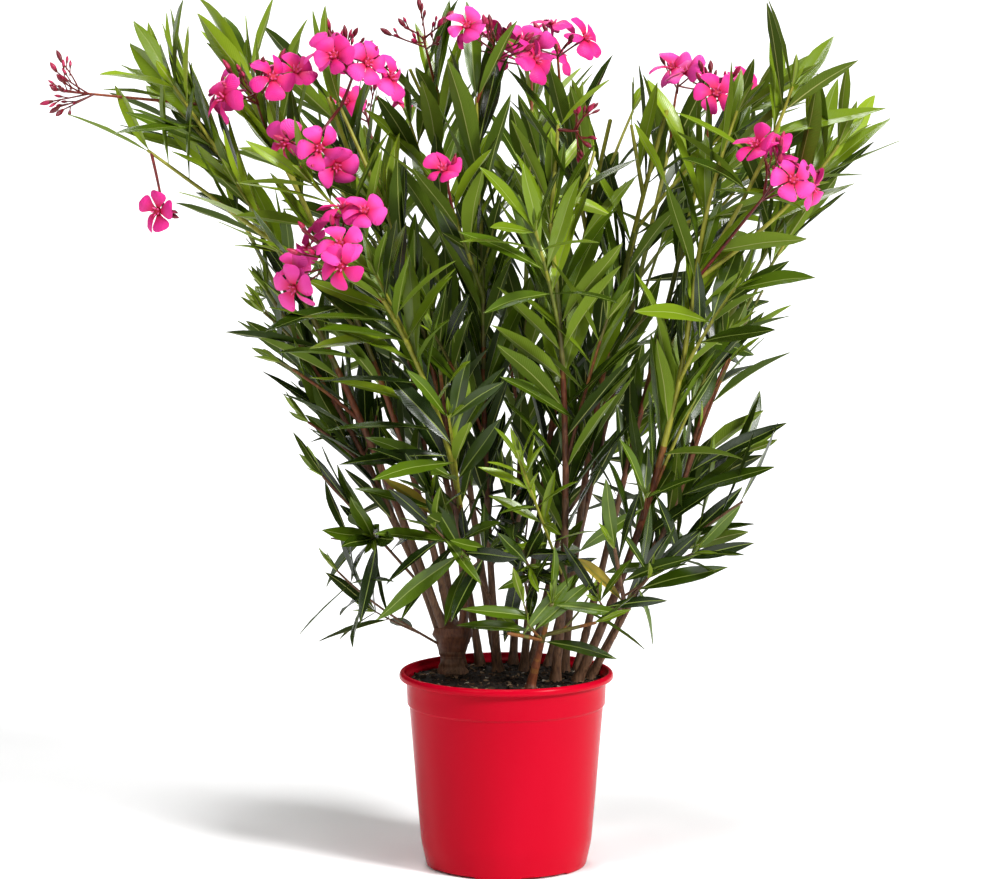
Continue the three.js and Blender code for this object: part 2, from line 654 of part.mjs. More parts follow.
/** One leaf of six faces: pointed at both ends, widest near the middle, with a keel under its rib. */
function leafSolid(leaf) {
  const half = halfWidth(leaf.length, LEAF_WIDEST) * LEAF_ENLARGED;
  return solidOf(
    reshape(new THREE.SphereGeometry(1, 3, 2), (x, y, z) => {
      if (Math.abs(y) > 0.5) return leafPoint(leaf, y > 0 ? 1 : 0);
      const keel = x < -0.9 ? -leaf.length * LEAF_THICKNESS : 0;
      const edge = -Math.sign(Math.round(z)) * half;
      return offset(leafPoint(leaf, LEAF_WIDEST), [leaf.side, edge], [leaf.face, keel]);
    }),
  );
}

/** A slim three-sided spindle from a to b, thickest at a share of the way. */
function spindle(a, b, radius, widest) {
  const way = b.clone().sub(a).normalize();
  const length = a.distanceTo(b);
  const [first, second] = across(way);
  return solidOf(
    reshape(new THREE.SphereGeometry(1, 3, 2), (x, y, z) => {
      const reach = y > 0.5 ? 1 : y < -0.5 ? 0 : widest;
      return offset(a, [way, reach * length], [first, -x * radius], [second, z * radius]);
    }),
  );
}

/** A five-petalled flower as a flat star that faces away from its stalk. */
function bloomSolid(middle, place) {
  const way = place.clone().sub(middle).normalize();
  const [first, second] = across(way);
  return solidOf(
    reshape(new THREE.SphereGeometry(1, 10, 2), (x, y, z) => {
      const ray = Math.round(Math.atan2(z, x) / (Math.PI / 5));
      const reach = Math.abs(y) > 0.5 ? 0 : BLOOM_RADIUS * (ray % 2 === 0 ? 1 : BLOOM_NOTCH);
      const turn = (ray * Math.PI) / 5;
      const depth = Math.abs(y) > 0.5 ? -y * BLOOM_DEPTH * 0.5 : BLOOM_DEPTH * 0.5;
      return offset(place, [first, reach * Math.cos(turn)], [second, reach * Math.sin(turn)], [way, depth]);
    }),
  );
}

/** A peduncle, with the flowers and every second bud on stalks that spring from its end. */
function headSolids({ root, middle, buds, blooms }) {
  const way = middle.clone().sub(root).normalize();
  const kept = buds.filter((_, k) => k % BUD_STEP === 0);
  return [
    spindle(root, offset(middle, [way, SINK]), PEDUNCLE_RADIUS * 1.4, 0.3),
    ...blooms.map((place) => spindle(middle, place, PEDUNCLE_RADIUS, 0.75)),
    ...blooms.map((place) => bloomSolid(middle, place)),
    ...kept.map((place) => {
      const end = offset(place, [place.clone().sub(middle).normalize(), 4 * BUD_RADIUS]);
      return spindle(middle, end, BUD_RADIUS, 0.75);
    }),
  ];
}

function shootSolid({ curve, t0, bow, radii, fewest }) {
  const [low, high] = radii;
  return limb(curve, t0, 1, evenStations(bow, fewest), TWIG_SIDES, (place) => low + (high - low) * place);
}

function caneSolid(cane, extra = 0) {
  const { foot, bare, radius } = cane;
  const fromSoil = foot[2] === CANE_FOOT;
  const profile = [...(fromSoil ? CANE_FLARE : [[0, 1]]), [1, CANE_TAPER]];
  const stations = [...new Set([...profile.map(([place]) => place), 0.5])].sort();
  const radiusAt = (place) => extra + radius * along(profile, place);
  return limb(caneCurve(cane), 0, bare, stations, CANE_SIDES, radiusAt, fromSoil ? CANE_FOOT : undefined);
}

function stumpSolid(extra = 0) {
  const axis = new THREE.LineCurve3(vector(STUMP_FOOT), offset(vector(STUMP_TOP), [UP, extra]));
  const stations = STUMP_RADII.map(([place]) => place);
  return limb(axis, 0, 1, stations, STUMP_SIDES, (place) => extra + along(STUMP_RADII, place), CANE_FOOT);
}

// ---------------------------------------------------------------- assembly

const group = new THREE.Group();

function addPart(name, solid, finish) {
  const material = new THREE.MeshStandardMaterial({ metalness: 0, ...finish });
  const mesh = new THREE.Mesh(geometryOf(solid), material);
  mesh.name = name;
  group.add(mesh);
}

addPart('pot', potSolid(), FINISH.pot);
addPart('soil', soilSolid(), FINISH.soil);
addPart('stump', stumpSolid(), FINISH.bark);

const stumpWithGap = stumpSolid(CLEARANCE);
for (const cane of CANES.filter(({ bare }) => bare > 0)) {
  const whole = caneSolid(cane);
  const cut = cane.foot[2] === FORK ? whole.subtract(stumpWithGap) : whole;
  addPart(`cane_${cane.name}`, cut, FINISH.bark);
}

const growth = CANES.map((cane, index) => {
  const shoots = growShoots(cane, index);
  return { cane, index, shoots, heads: growHeads(cane, shoots, index) };
});
const space = {
  shoots: growth.flatMap(({ index, shoots, heads }) => [
    ...shoots.flatMap(({ curve, t0 }) => piecesOf(curve, t0, 1, 8, index)),
    ...heads.flatMap(({ root, middle, buds, blooms }) => [
      piece(root, middle, index),
      ...[...buds, ...blooms].map((place) => piece(middle, place, index)),
    ]),
  ]),
  guards: growth.flatMap(({ heads }) =>
    heads.flatMap(({ middle, blooms }) => blooms.map((place) => bloomGuard(middle, place))),
  ),
  limbs: growth.flatMap(({ cane, index, shoots }) =>
    cane.bare > 0 ? piecesOf(shoots[0].curve, 0, cane.bare, 6, index, cane.radius) : [],
  ),
};

for (const { cane, index, shoots, heads } of growth) {
  const taken = [];
  const leaves = shoots.flatMap((branch, number) => growLeaves(branch, index, number, space, taken));
  const solids = [...shoots.map(shootSolid), ...heads.flatMap(headSolids), ...leaves.map(leafSolid)];
  const mass = wasm.Manifold.union(solids);
  const host = CANES.find(({ name }) => name === cane.growsFrom?.[0]);
  const kept = cane.growsFrom ? mass.subtract(host ? caneSolid(host, CLEARANCE) : stumpWithGap) : mass;
  addPart(`foliage_${cane.name}`, kept, FINISH.foliage);
}

export default group;
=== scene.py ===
import math
from collections import namedtuple

import bpy
import numpy as np
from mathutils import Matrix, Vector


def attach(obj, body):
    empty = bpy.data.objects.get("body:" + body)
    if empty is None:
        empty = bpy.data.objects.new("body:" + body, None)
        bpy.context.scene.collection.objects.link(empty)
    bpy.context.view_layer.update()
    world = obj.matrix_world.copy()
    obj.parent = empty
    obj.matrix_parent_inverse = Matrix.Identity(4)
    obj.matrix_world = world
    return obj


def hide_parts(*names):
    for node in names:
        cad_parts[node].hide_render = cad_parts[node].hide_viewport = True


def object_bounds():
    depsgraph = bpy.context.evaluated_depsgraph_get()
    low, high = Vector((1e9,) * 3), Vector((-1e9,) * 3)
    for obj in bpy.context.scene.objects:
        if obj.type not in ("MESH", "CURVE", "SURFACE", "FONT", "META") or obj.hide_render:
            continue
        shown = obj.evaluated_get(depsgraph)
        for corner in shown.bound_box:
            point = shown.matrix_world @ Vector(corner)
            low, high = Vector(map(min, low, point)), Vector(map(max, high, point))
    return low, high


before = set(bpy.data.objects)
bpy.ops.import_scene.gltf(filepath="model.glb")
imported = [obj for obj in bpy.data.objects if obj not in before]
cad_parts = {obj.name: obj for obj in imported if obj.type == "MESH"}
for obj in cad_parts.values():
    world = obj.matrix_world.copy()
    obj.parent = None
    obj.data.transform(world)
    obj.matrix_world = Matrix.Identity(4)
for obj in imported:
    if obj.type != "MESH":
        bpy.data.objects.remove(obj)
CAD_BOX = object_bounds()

MM = 0.001

# ---------------------------------------------------------------- camera

CAMERA_PLACE = (-0.007, -5.0, 1.139)
CAMERA_PITCH = 7.5  # degrees down
LENS = 163.1
SENSOR = 36.0

camera_data = bpy.data.cameras.new("camera")
camera_data.lens = LENS
camera_data.sensor_width = SENSOR
camera_data.sensor_fit = "HORIZONTAL"
camera_data.clip_end = 200.0
camera = bpy.data.objects.new("camera", camera_data)
camera.location = CAMERA_PLACE
camera.rotation_euler = (math.radians(90 - CAMERA_PITCH), 0, 0)
bpy.context.scene.collection.objects.link(camera)
bpy.context.scene.camera = camera

# ---------------------------------------------------------------- sizes, as in the solids

CLEARANCE = 0.3  # between two parts
POT_HEIGHT = 220
POT_RIM_RADIUS = 120
POT_BASE = 3
SOIL_LEVEL = 210
CANE_FOOT = SOIL_LEVEL + CLEARANCE
FORK = 246
STUMP_FOOT = (-61, 43, CANE_FOOT)
STUMP_TOP = (-60, 49, 264)
STUMP_RADII = [(0, 17.5), (0.1, 14.5), (0.3, 13.5), (0.55, 17), (0.78, 22), (0.92, 21), (1, 13)]

LEAF_LENGTH = 135
LEAF_WIDTH = 0.172  # as a share of its length
LEAF_PITCH = {"low": 80, "drop": 50, "spread": 12}  # degrees from the shoot, less towards its tip
LEAF_ROLL = 35
LEAF_ARCH = (0.06, 0.22)
LEAVES_IN_WHORL = 3
INTERNODE_LOW = 42  # between whorls at the foot of a shoot
INTERNODE_DROP = 16  # how much less it is at the tip
# How much nearer its own shoots than others a leaf keeps, by height: low down neighbours mingle.
SPACE_MARGIN = [(330, -34), (480, -18), (640, 1.5)]
LIMB_MARGIN = 1.5
LEAF_MARGIN = 2.5
POT_MARGIN = 6
SOIL_MARGIN = 4
MOST_LEAVES = 9000
# The leans and sizes that a leaf tries in turn, until it keeps to its space.
LEAF_TRIES = [(1, 1), (0.8, 1), (1.15, 0.95), (0.6, 1), (0.4, 0.95), (1.3, 0.85), (0.25, 0.85)]

BLOOM_RADIUS = 25
BLOOM_GUARD = 0.8  # the share of that radius round a flower that leaves keep out of
SINK = 5  # how far a fork or a peduncle is rooted back from a tip
CANE_FLARE = [(0, 1.45), (0.08, 1.06)]
CANE_TAPER = 0.82
STEM_TIP_RADIUS = 2.4
TWIG_RADII = (2.8, 1.8)
SPRAY_RADII = (2.3, 1.5)
SPRAY = {"reach": (150, 220), "lean": 0.3, "outward": 0.35, "sag": 8, "leafy": 0.3, "leaf_size": 0.88}
SPRAY_SHORTER = 0.9
SPRAY_INSIDE = 0.86  # the share of the crown's reach that side sprays stay within
CROWN_MIDDLE_Y = 60
# The crown's reach to the left, to the right and in depth, by height.
CROWN_LEFT = [(214, -245), (335, -235), (372, -195), (420, -250), (500, -268), (560, -290), (605, -332),
              (645, -296), (690, -292), (735, -360), (765, -440), (860, -512), (940, -450), (1000, -330)]
CROWN_RIGHT = [(214, 160), (300, 228), (350, 262), (417, 318), (500, 318), (600, 322), (680, 358),
               (741, 400), (765, 462), (868, 455), (930, 400), (1000, 330)]
CROWN_DEPTH = [(214, 150), (400, 215), (600, 290), (800, 375), (1000, 340)]
CROWN_RAGGED = 0.14  # how unevenly leaves fill that reach
# Where the sky shows through the crown: place across, height and reach of each opening between sprays.
OPENINGS = [
    (-408, 787, 26), (-142, 931, 22), (41, 943, 24), (95, 909, 24), (118, 822, 22), (126, 868, 16),
    (155, 742, 22), (174, 671, 20), (188, 869, 18), (211, 900, 26), (259, 926, 24), (315, 928, 14),
    (287, 651, 20), (242, 511, 18), (281, 416, 20),
    (-199, 745, 16), (-383, 785, 20), (-161, 957, 18), (-116, 911, 16),
]
GOLDEN_TURN = 137.5
ARCH_BACK, ARCH_DOWN = 0.45, 0.55  # how a leaf's arch is shared between its own back and straight down
LEAF_SPACING = 150  # leaves further apart than this are not measured against each other
THINNED = 0.1  # the share of the upper leaves that have dropped, so that the sky shows through
THINNED_BACK = 0.3
THINNED_ABOVE = 560
OPEN_FRONTED = ("left", "right", "front", "centre")  # canes whose front leaves part so that the stem shows
OPEN_FROM = -0.7
TUFT_LEAVES = 5
TUFT_LENGTH = (26, 62)
TUFT_PITCH = (8, 26)
# Short leafy twigs of the low masses, too fine for the solids: how many each mass has.
FINE_TWIGS = {"low_left": 1, "low_mid": 2, "low_centre": 3, "low_right": 2, "low_front": 4, "whip": 1,
              "left_low": 1, "right_low": 1, "front": 2, "right": 1, "centre": 2}
FINE_REACH = (45, 85)
FINE_RADII = (1.5, 0.9)
FINE_LEAF_SIZE = 0.64
FINE_TRIES = 4

# Fork: the share of its cane's middle line where it starts, its tip, the bow of its middle, and the
# share of it without leaves. Head: the shoot that carries it, its middle, spread, flowers and buds.
# Cane: the foot and tip of its middle line, the bow of its middle, its bare share, its radius and how
# many side sprays it has. A foot is a place, or another cane and a share of that one's middle line.
Fork = namedtuple("Fork", "start tip bow leafy", defaults=[(0, 0), 0.1])
Head = namedtuple("Head", "on at spread blooms buds")
Cane = namedtuple("Cane", "name foot tip bow bare radius sprays forks heads leaf_size droop leafy",
                  defaults=[[], [], 1, 0, 0.03])
CANES = [
    Cane("left_high", (-66, 38, FORK), (-342, 0, 858), (18, 0), 0.27, 5, 3,
         forks=[Fork(0.74, (-392, -50, 806), leafy=0.25), Fork(0.8, (-362, -70, 878), leafy=0.3)],
         heads=[Head(0, (-484, -10, 868), 30, 0, 9), Head(1, (-376, -44, 738), 8, 1, 1)]),
    Cane("left_inner", (-60, 50, FORK), (-262, -40, 825), (25, 0), 0.28, 4.6, 1,
         forks=[Fork(0.86, (-286, 50, 884))], heads=[Head(0, (-275, -45, 868), 44, 6, 5)]),
    Cane("left_front", (-52, 38, FORK), (-132, -170, 654), (34, 20), 0.24, 4.6, 2,
         heads=[Head(0, (-188, -190, 704), 52, 8, 4)]),
    Cane("left_mid", (-47, 48, FORK), (-131, -70, 742), (21, 2), 0.28, 4.6, 2,
         forks=[Fork(1, (-183, -60, 858), leafy=0.9)],
         heads=[Head(1, (-165, -62, 896), 40, 6, 6), Head(1, (-214, -90, 808), 32, 3, 3)]),
    Cane("left_back", (-30, 92, CANE_FOOT), (-203, 170, 851), (20, 0), 0.28, 4.6, 2,
         heads=[Head(0, (-190, 170, 905), 25, 0, 5)]),
    Cane("left_low", (-73, 52, FORK), (-268, 60, 640), (16, 0), 0.27, 4.2, 2),
    Cane("centre", (-9, 55, CANE_FOOT), (-25, -40, 650), (-5, 0), 0.24, 5, 1,
         forks=[Fork(1, (-59, -90, 745), leafy=0), Fork(1, (-33, -30, 862), leafy=0)],
         heads=[Head(1, (-64, -90, 782), 10, 1, 3), Head(2, (-8, -30, 914), 42, 4, 7)]),
    Cane("top_mid", (-10, 86, CANE_FOOT), (-77, 60, 866), (-12, 10), 0.26, 4.6, 2,
         forks=[Fork(0.93, (-107, 40, 890))], heads=[Head(0, (-92, 30, 925), 34, 0, 7)]),
    Cane("top_right", (20, 52, CANE_FOOT), (117, 90, 831), (-12, 0), 0.26, 4.6, 2,
         forks=[Fork(0.8, (60, 60, 860), leafy=0.2)], heads=[Head(1, (56, 40, 916), 32, 3, 2)]),
    Cane("front", (55, -7, CANE_FOOT), (47, -110, 731), (14, 0), 0.27, 5.2, 2,
         forks=[Fork(1, (56, -90, 836), leafy=0), Fork(0.97, (96, -60, 805), leafy=0.2, bow=(6, 0))],
         heads=[Head(1, (76, -95, 830), 26, 0, 5)]),
    Cane("right", (80, -9, CANE_FOOT), (205, -110, 673), (20, 0), 0.26, 5.4, 2,
         forks=[Fork(1, (251, -70, 850), bow=(-6, 0)), Fork(1, (309, -100, 878), leafy=0.35, bow=(8, 0)),
                Fork(1, (362, -60, 812), leafy=0.3, bow=(14, 0))],
         heads=[Head(0, (296, -150, 788), 38, 6, 5)]),
    Cane("right_lean", (66, 46, CANE_FOOT), (179, 50, 844), (-18, 0), 0.28, 4.8, 2,
         forks=[Fork(0.85, (138, 10, 830), leafy=0.2)]),
    Cane("right_bloom", (80, 57, CANE_FOOT), (226, 100, 800), (0, 0), 0.28, 4.4, 2,
         heads=[Head(0, (234, 85, 864), 36, 4, 4)]),
    Cane("far_right", (97, 34, CANE_FOOT), (256, 60, 670), (24, 0), 0.27, 4.8, 3,
         forks=[Fork(0.85, (340, 20, 780))]),
    Cane("right_low", (94, 10, CANE_FOOT), (214, -60, 500), (10, 0), 0.2, 4, 2),
    Cane("back_left", (-50, 86, CANE_FOOT), (-150, 300, 760), (0, -20), 0.27, 4.4, 2,
         heads=[Head(0, (-165, 318, 828), 36, 2, 3)]),
    Cane("back_mid", (8, 98, CANE_FOOT), (30, 300, 830), (0, -20), 0.26, 4.4, 2,
         heads=[Head(0, (30, 312, 893), 36, 3, 3)]),
    Cane("back_right", (48, 84, CANE_FOOT), (192, 250, 802), (0, -20), 0.27, 4.4, 2,
         heads=[Head(0, (200, 260, 865), 34, 2, 3)]),
    Cane("back_out", (-62, 61, FORK), (-300, 210, 700), (0, 0), 0.3, 4.2, 2),
    Cane("back_low", (28, 90, CANE_FOOT), (110, 270, 560), (0, -20), 0.26, 4.2, 2),
    Cane("low_front", (27, -50, CANE_FOOT), (50, -94, 312), (0, 10), 0.36, 5, 0,
         forks=[Fork(0.6, (98, -104, 292), leafy=0.3), Fork(0.55, (2, -116, 282), leafy=0.3)],
         leaf_size=0.72, droop=36),
    # Thin shoots without a bare cane: each grows out of a cane, and the last one out of the stump.
    Cane("young", ("front", 0.23), (14, -112, 474), (0, 0), 0, 2.2, 0, leaf_size=0.5),
    Cane("low_left", ("left_low", 0.15), (-206, 30, 436), (0, 0), 0, 2.3, 0,
         forks=[Fork(0.4, (-148, -20, 372), leafy=0.2)], leaf_size=0.8, leafy=0.3),
    Cane("low_mid", ("centre", 0.18), (-82, -72, 428), (0, 0), 0, 2.3, 0,
         forks=[Fork(0.5, (-48, -108, 366), leafy=0.15)], leaf_size=0.8, leafy=0.25),
    Cane("low_centre", ("top_right", 0.12), (0, -28, 432), (0, 0), 0, 2.3, 0,
         forks=[Fork(0.5, (24, -84, 352), leafy=0.2)], leaf_size=0.8, leafy=0.25),
    Cane("low_right", ("right", 0.13), (156, -92, 340), (0, 0), 0, 2.3, 0,
         forks=[Fork(0.5, (118, -114, 376), leafy=0.2)], leaf_size=0.8, leafy=0.3),
    Cane("whip", (-66, 46, 236), (-190, 20, 330), (-10, 0), 0, 1.9, 0, leaf_size=0.72, droop=18, leafy=0.5),
]

# ---------------------------------------------------------------- small helpers

UP = np.array([0.0, 0.0, 1.0])
WORD = 0xFFFFFFFF


def draws(*keys):
    """A run of random numbers from 0 to 1 that depends only on the keys: the mass, the shoot and so on."""
    state = 2166136261
    for key in keys:
        state = ((state ^ (key & WORD)) * 16777619) & WORD

    def draw():
        nonlocal state
        state = (state + 0x6D2B79F5) & WORD
        mixed = ((state ^ (state >> 15)) * (state | 1)) & WORD
        mixed ^= (mixed + (((mixed ^ (mixed >> 7)) * (mixed | 61)) & WORD)) & WORD
        return ((mixed ^ (mixed >> 14)) & WORD) / 4294967296

    return draw


def unit(values):
    """The vectors along the last axis, each made one unit long."""
    values = np.asarray(values, float)
    return values / np.linalg.norm(values, axis=-1, keepdims=True)


def across(direction):
    """Two directions square to the given one and to each other."""
    first = unit(np.cross(direction, (0.3, 1, 0.1)))
    return first, np.cross(direction, first)


def turned_round(direction, turn):
    """The direction square to the given one that stands at an angle round it."""
    first, second = across(direction)
    return first * math.cos(turn) + second * math.sin(turn)


def along(pairs, place):
    """The value at a place in a list of (place, value) pairs."""
    return np.interp(place, [at for at, _ in pairs], [value for _, value in pairs])


class Curve:
    """A quadratic curve from a to b whose middle stands off the straight line by bow."""

    def __init__(self, a, b, bow):
        self.a = np.array(a, float)
        self.b = np.array(b, float)
        self.control = (self.a + self.b) / 2 + 2 * np.array([bow[0], bow[1], 0.0])
        samples = self.points(np.linspace(0, 1, 101))
        self.length = float(np.linalg.norm(np.diff(samples, axis=0), axis=1).sum())

    def points(self, t):
        t = np.asarray(t, float)[..., None]
        return (1 - t) ** 2 * self.a + 2 * t * (1 - t) * self.control + t * t * self.b

    def tangents(self, t):
        t = np.asarray(t, float)[..., None]
        return unit((1 - t) * (self.control - self.a) + t * (self.b - self.control))


# ---------------------------------------------------------------- how the shrub grows


class Shoot:
    """A leafy shoot: the stretch of a curve from t0 to its end that carries whorls of leaves."""

    def __init__(self, curve, radii, t0, leafy, size, droop=0.0):
        self.curve = curve
        self.t0 = t0
        self.leafy = leafy
        self.size = size
        self.droop = droop
        self.radii = radii
        self.length = curve.length * (1 - t0)


def inside_crown(points, share):
    """True where every point is within a share of the crown's reach."""
    x, y, z = np.atleast_2d(points).T
    aside = np.where(x < 0, x / along(CROWN_LEFT, z), x / along(CROWN_RIGHT, z))
    deep = np.abs(y - CROWN_MIDDLE_Y) <= share * along(CROWN_DEPTH, z)
    return bool((aside <= share).all() and deep.all())


def cane_curve(cane):
    """The middle line of a cane, which starts at its own foot or part of the way up another cane."""
    foot = cane.foot
    if len(foot) == 2:
        host, place = foot
        foot = cane_curve(next(other for other in CANES if other.name == host)).points(place)
    return Curve(foot, cane.tip, cane.bow)


def grow_shoots(cane, index):
    """The stem of a mass, its forks, and the side shoots that the seeded rule adds."""
    bare = cane.bare
    curve = cane_curve(cane)
    start = 0.0 if bare == 0 else bare + CLEARANCE / curve.length
    stem_radii = (cane.radius * CANE_TAPER, min(STEM_TIP_RADIUS, cane.radius * 0.6))
    shoots = [Shoot(curve, stem_radii, start, cane.leafy, cane.leaf_size, cane.droop)]
    for fork in cane.forks:
        root = curve.points(min(fork.start, 1 - SINK / curve.length))
        branch = Curve(root, fork.tip, fork.bow)
        shoots.append(Shoot(branch, TWIG_RADII, 0.0, fork.leafy, cane.leaf_size, cane.droop))
    for k in range(cane.sprays):
        draw = draws(index, 500 + k)
        place = bare + (1 - bare) * (0.06 + 0.76 * (k + 0.3 + 0.4 * draw()) / cane.sprays)
        tangent = curve.tangents(place)
        turn = math.radians(GOLDEN_TURN * k + 67 * index + 30 * draw())
        root = curve.points(place)
        away = unit([root[0], root[1] - CROWN_MIDDLE_Y, 0])
        way = unit(tangent + SPRAY["lean"] * turned_round(tangent, turn) + SPRAY["outward"] * away)
        least, most = SPRAY["reach"]
        reach = (least + (most - least) * draw()) * (1.25 - 0.5 * place)
        while reach > least / 3 and not inside_crown(root + way * reach, SPRAY_INSIDE):
            reach *= SPRAY_SHORTER
        sag = (-SPRAY["sag"] * way[0], -SPRAY["sag"] * way[1])
        branch = Curve(root, root + way * reach, sag)
        shoots.append(Shoot(branch, SPRAY_RADII, 0.0, SPRAY["leafy"], SPRAY["leaf_size"]))
    return shoots


def grow_heads(cane, shoots, index):
    """Where the flowers and buds of a head sit: on spiral places round its middle, buds innermost."""
    heads = []
    for number, head in enumerate(cane.heads):
        curve = shoots[head.on].curve
        root = curve.points(1 - SINK / curve.length)
        middle = np.array(head.at, float)
        up = unit(middle - root)
        count = head.blooms + head.buds
        places = []
        for k in range(count):
            draw = draws(index, 700 + number, k)
            turn = math.radians(GOLDEN_TURN * k + 40 * draw())
            share = math.sqrt((k + 0.5) / count)
            out = head.spread * (0.25 + 0.95 * share)
            place = middle + out * turned_round(up, turn)
            places.append(place + up * 0.5 * head.spread * (1 - share * share) + UP * 10 * draw())
        heads.append({"root": root, "middle": middle, "buds": places[: head.buds],
                      "blooms": places[head.buds:], "key": (index, number)})
    return heads


class Pieces:
    """Straight pieces of shoots, stalks or limbs, kept for measuring distances to them."""

    def __init__(self, rows):
        self.a = np.array([a for a, _, _, _ in rows], float).reshape(-1, 3)
        self.run = np.array([b for _, b, _, _ in rows], float).reshape(-1, 3) - self.a
        self.square = np.maximum((self.run**2).sum(1), 1e-9)
        self.owner = np.array([owner for _, _, owner, _ in rows])
        self.radius = np.array([radius for _, _, _, radius in rows], float)

    def distances(self, points):
        gap = points[:, None] - self.a
        t = np.clip((gap * self.run).sum(2) / self.square, 0, 1)
        return np.linalg.norm(gap - t[..., None] * self.run, axis=2) - self.radius


def pieces_of(curve, t0, t1, count, owner, radius=0.0):
    """A stretch of a curve as rows (from, to, mass, radius) for Pieces."""
    points = curve.points(np.linspace(t0, t1, count + 1))
    return [(a, b, owner, radius) for a, b in zip(points[:-1], points[1:])]


def half_width(length, t):
    """Half the width of a leaf, which is widest past its middle and pointed at both ends."""
    return length * LEAF_WIDTH * 0.5 * np.sin(np.pi * np.minimum(1, 0.96 * t + 0.03) ** 0.85) ** 0.9


class Leaf:
    """A leaf at a root, leaning out from the shoot by pitch and turned about its own length by roll."""

    def __init__(self, root, tangent, out, pitch, roll, length, arch):
        self.root = root
        self.way = tangent * math.cos(pitch) + out * math.sin(pitch)
        flat = tangent * math.sin(pitch) - out * math.cos(pitch)
        self.face = flat * math.cos(roll) + np.cross(self.way, flat) * math.sin(roll)
        self.side = np.cross(self.way, self.face)
        self.length = length
        self.arch = arch
        self.shade = None

    def settle(self, mass, shoot, x, luck, young=False):
        """Notes the mass and shoot that carry the leaf, and how far along the leafy stretch it stands."""
        self.mass = mass
        self.shoot = shoot
        self.x = x
        self.luck = luck
        self.young = young

    def points(self, t):
        """The middle line: straight out along its way, then arching over and down."""
        t = np.asarray(t, float)[:, None]
        drop = self.length * self.arch * t * t
        return self.root + self.way * self.length * t - (ARCH_BACK * self.face + ARCH_DOWN * UP) * drop

    def samples(self):
        """Points on the middle line and on both edges, from a quarter of the way out."""
        middle = self.points(SAMPLE_MIDDLE)
        edge = self.points(SAMPLE_EDGES)
        half = half_width(self.length, SAMPLE_EDGES)[:, None] * self.side
        return np.concatenate([middle, edge + half, edge - half])


SAMPLE_MIDDLE = np.array([0.25, 0.38, 0.5, 0.62, 0.75, 0.88, 1.0])
SAMPLE_EDGES = np.array([0.25, 0.45, 0.65, 0.82])
OPENING_X, OPENING_Z, OPENING_REACH = np.array(OPENINGS, float).T
LOWEST = np.array(CAD_BOX[0]) / MM
HIGHEST = np.array(CAD_BOX[1]) / MM

growth = []
for index, cane in enumerate(CANES):
    shoots = grow_shoots(cane, index)
    growth.append((cane, index, shoots, grow_heads(cane, shoots, index)))

living_rows = []
guard_rows = []
limb_rows = []
for cane, index, shoots, heads in growth:
    for shoot in shoots:
        living_rows += pieces_of(shoot.curve, shoot.t0, 1, 8, index)
    for head in heads:
        living_rows.append((head["root"], head["middle"], index, 0))
        for place in head["buds"] + head["blooms"]:
            living_rows.append((head["middle"], place, index, 0))
        for place in head["blooms"]:
            ahead = place + 4 * unit(place - head["middle"])
            guard_rows.append((place, ahead, index, BLOOM_RADIUS * BLOOM_GUARD))
    if cane.bare > 0:
        limb_rows += pieces_of(shoots[0].curve, 0, cane.bare, 6, index, cane.radius)
living = Pieces(living_rows)
guards = Pieces(guard_rows)
limbs = Pieces(limb_rows)


def keeps_to_space(points, owner, share=1.0):
    """True where every point is in its mass's own space: nearest to its shoots, off limbs and pot."""
    if (points < LOWEST).any() or (points > HIGHEST).any() or not inside_crown(points, share):
        return False
    if (points[:, 2] < SOIL_LEVEL + SOIL_MARGIN).any():
        return False
    over_pot = np.hypot(points[:, 0], points[:, 1]) < POT_RIM_RADIUS + POT_MARGIN
    if ((points[:, 2] < POT_HEIGHT + POT_MARGIN) & over_pot).any():
        return False
    aside = np.hypot(points[:, :1] - OPENING_X, points[:, 2:] - OPENING_Z)
    if (aside < OPENING_REACH).any():
        return False
    if (limbs.distances(points) < LIMB_MARGIN).any() or (guards.distances(points) < 0).any():
        return False
    gap = living.distances(points)
    own = gap[:, living.owner == owner].min(1)
    other = gap[:, living.owner != owner].min(1)
    return bool((other >= LIMB_MARGIN).all() and (own + along(SPACE_MARGIN, points[:, 2]) <= other).all())


class Grown:
    """The middle lines of all leaves so far, which the next ones keep clear of."""

    def __init__(self, room):
        self.middle = np.full((room, 3), 1e9)
        self.a = np.zeros((room, 2, 3))
        self.run = np.zeros((room, 2, 3))
        self.count = 0

    def add(self, leaf):
        spine = leaf.points([0.1, 0.46, 1.0])
        self.middle[self.count] = spine[1]
        self.a[self.count] = spine[:2]
        self.run[self.count] = spine[1:] - spine[:2]
        self.count += 1

    def clear_of(self, points, reach):
        near = np.linalg.norm(self.middle[: self.count] - points[2], axis=1) < reach
        a = self.a[: self.count][near].reshape(-1, 3)
        run = self.run[: self.count][near].reshape(-1, 3)
        gap = points[:, None] - a
        t = np.clip((gap * run).sum(2) / np.maximum((run**2).sum(1), 1e-9), 0, 1)
        return bool((np.linalg.norm(gap - t[..., None] * run, axis=2) >= LEAF_MARGIN).all())


grown = Grown(MOST_LEAVES)


def first_name(owner):
    """The first word of a cane's name, which says where on the plant it stands."""
    return CANES[owner].name.split("_")[0]


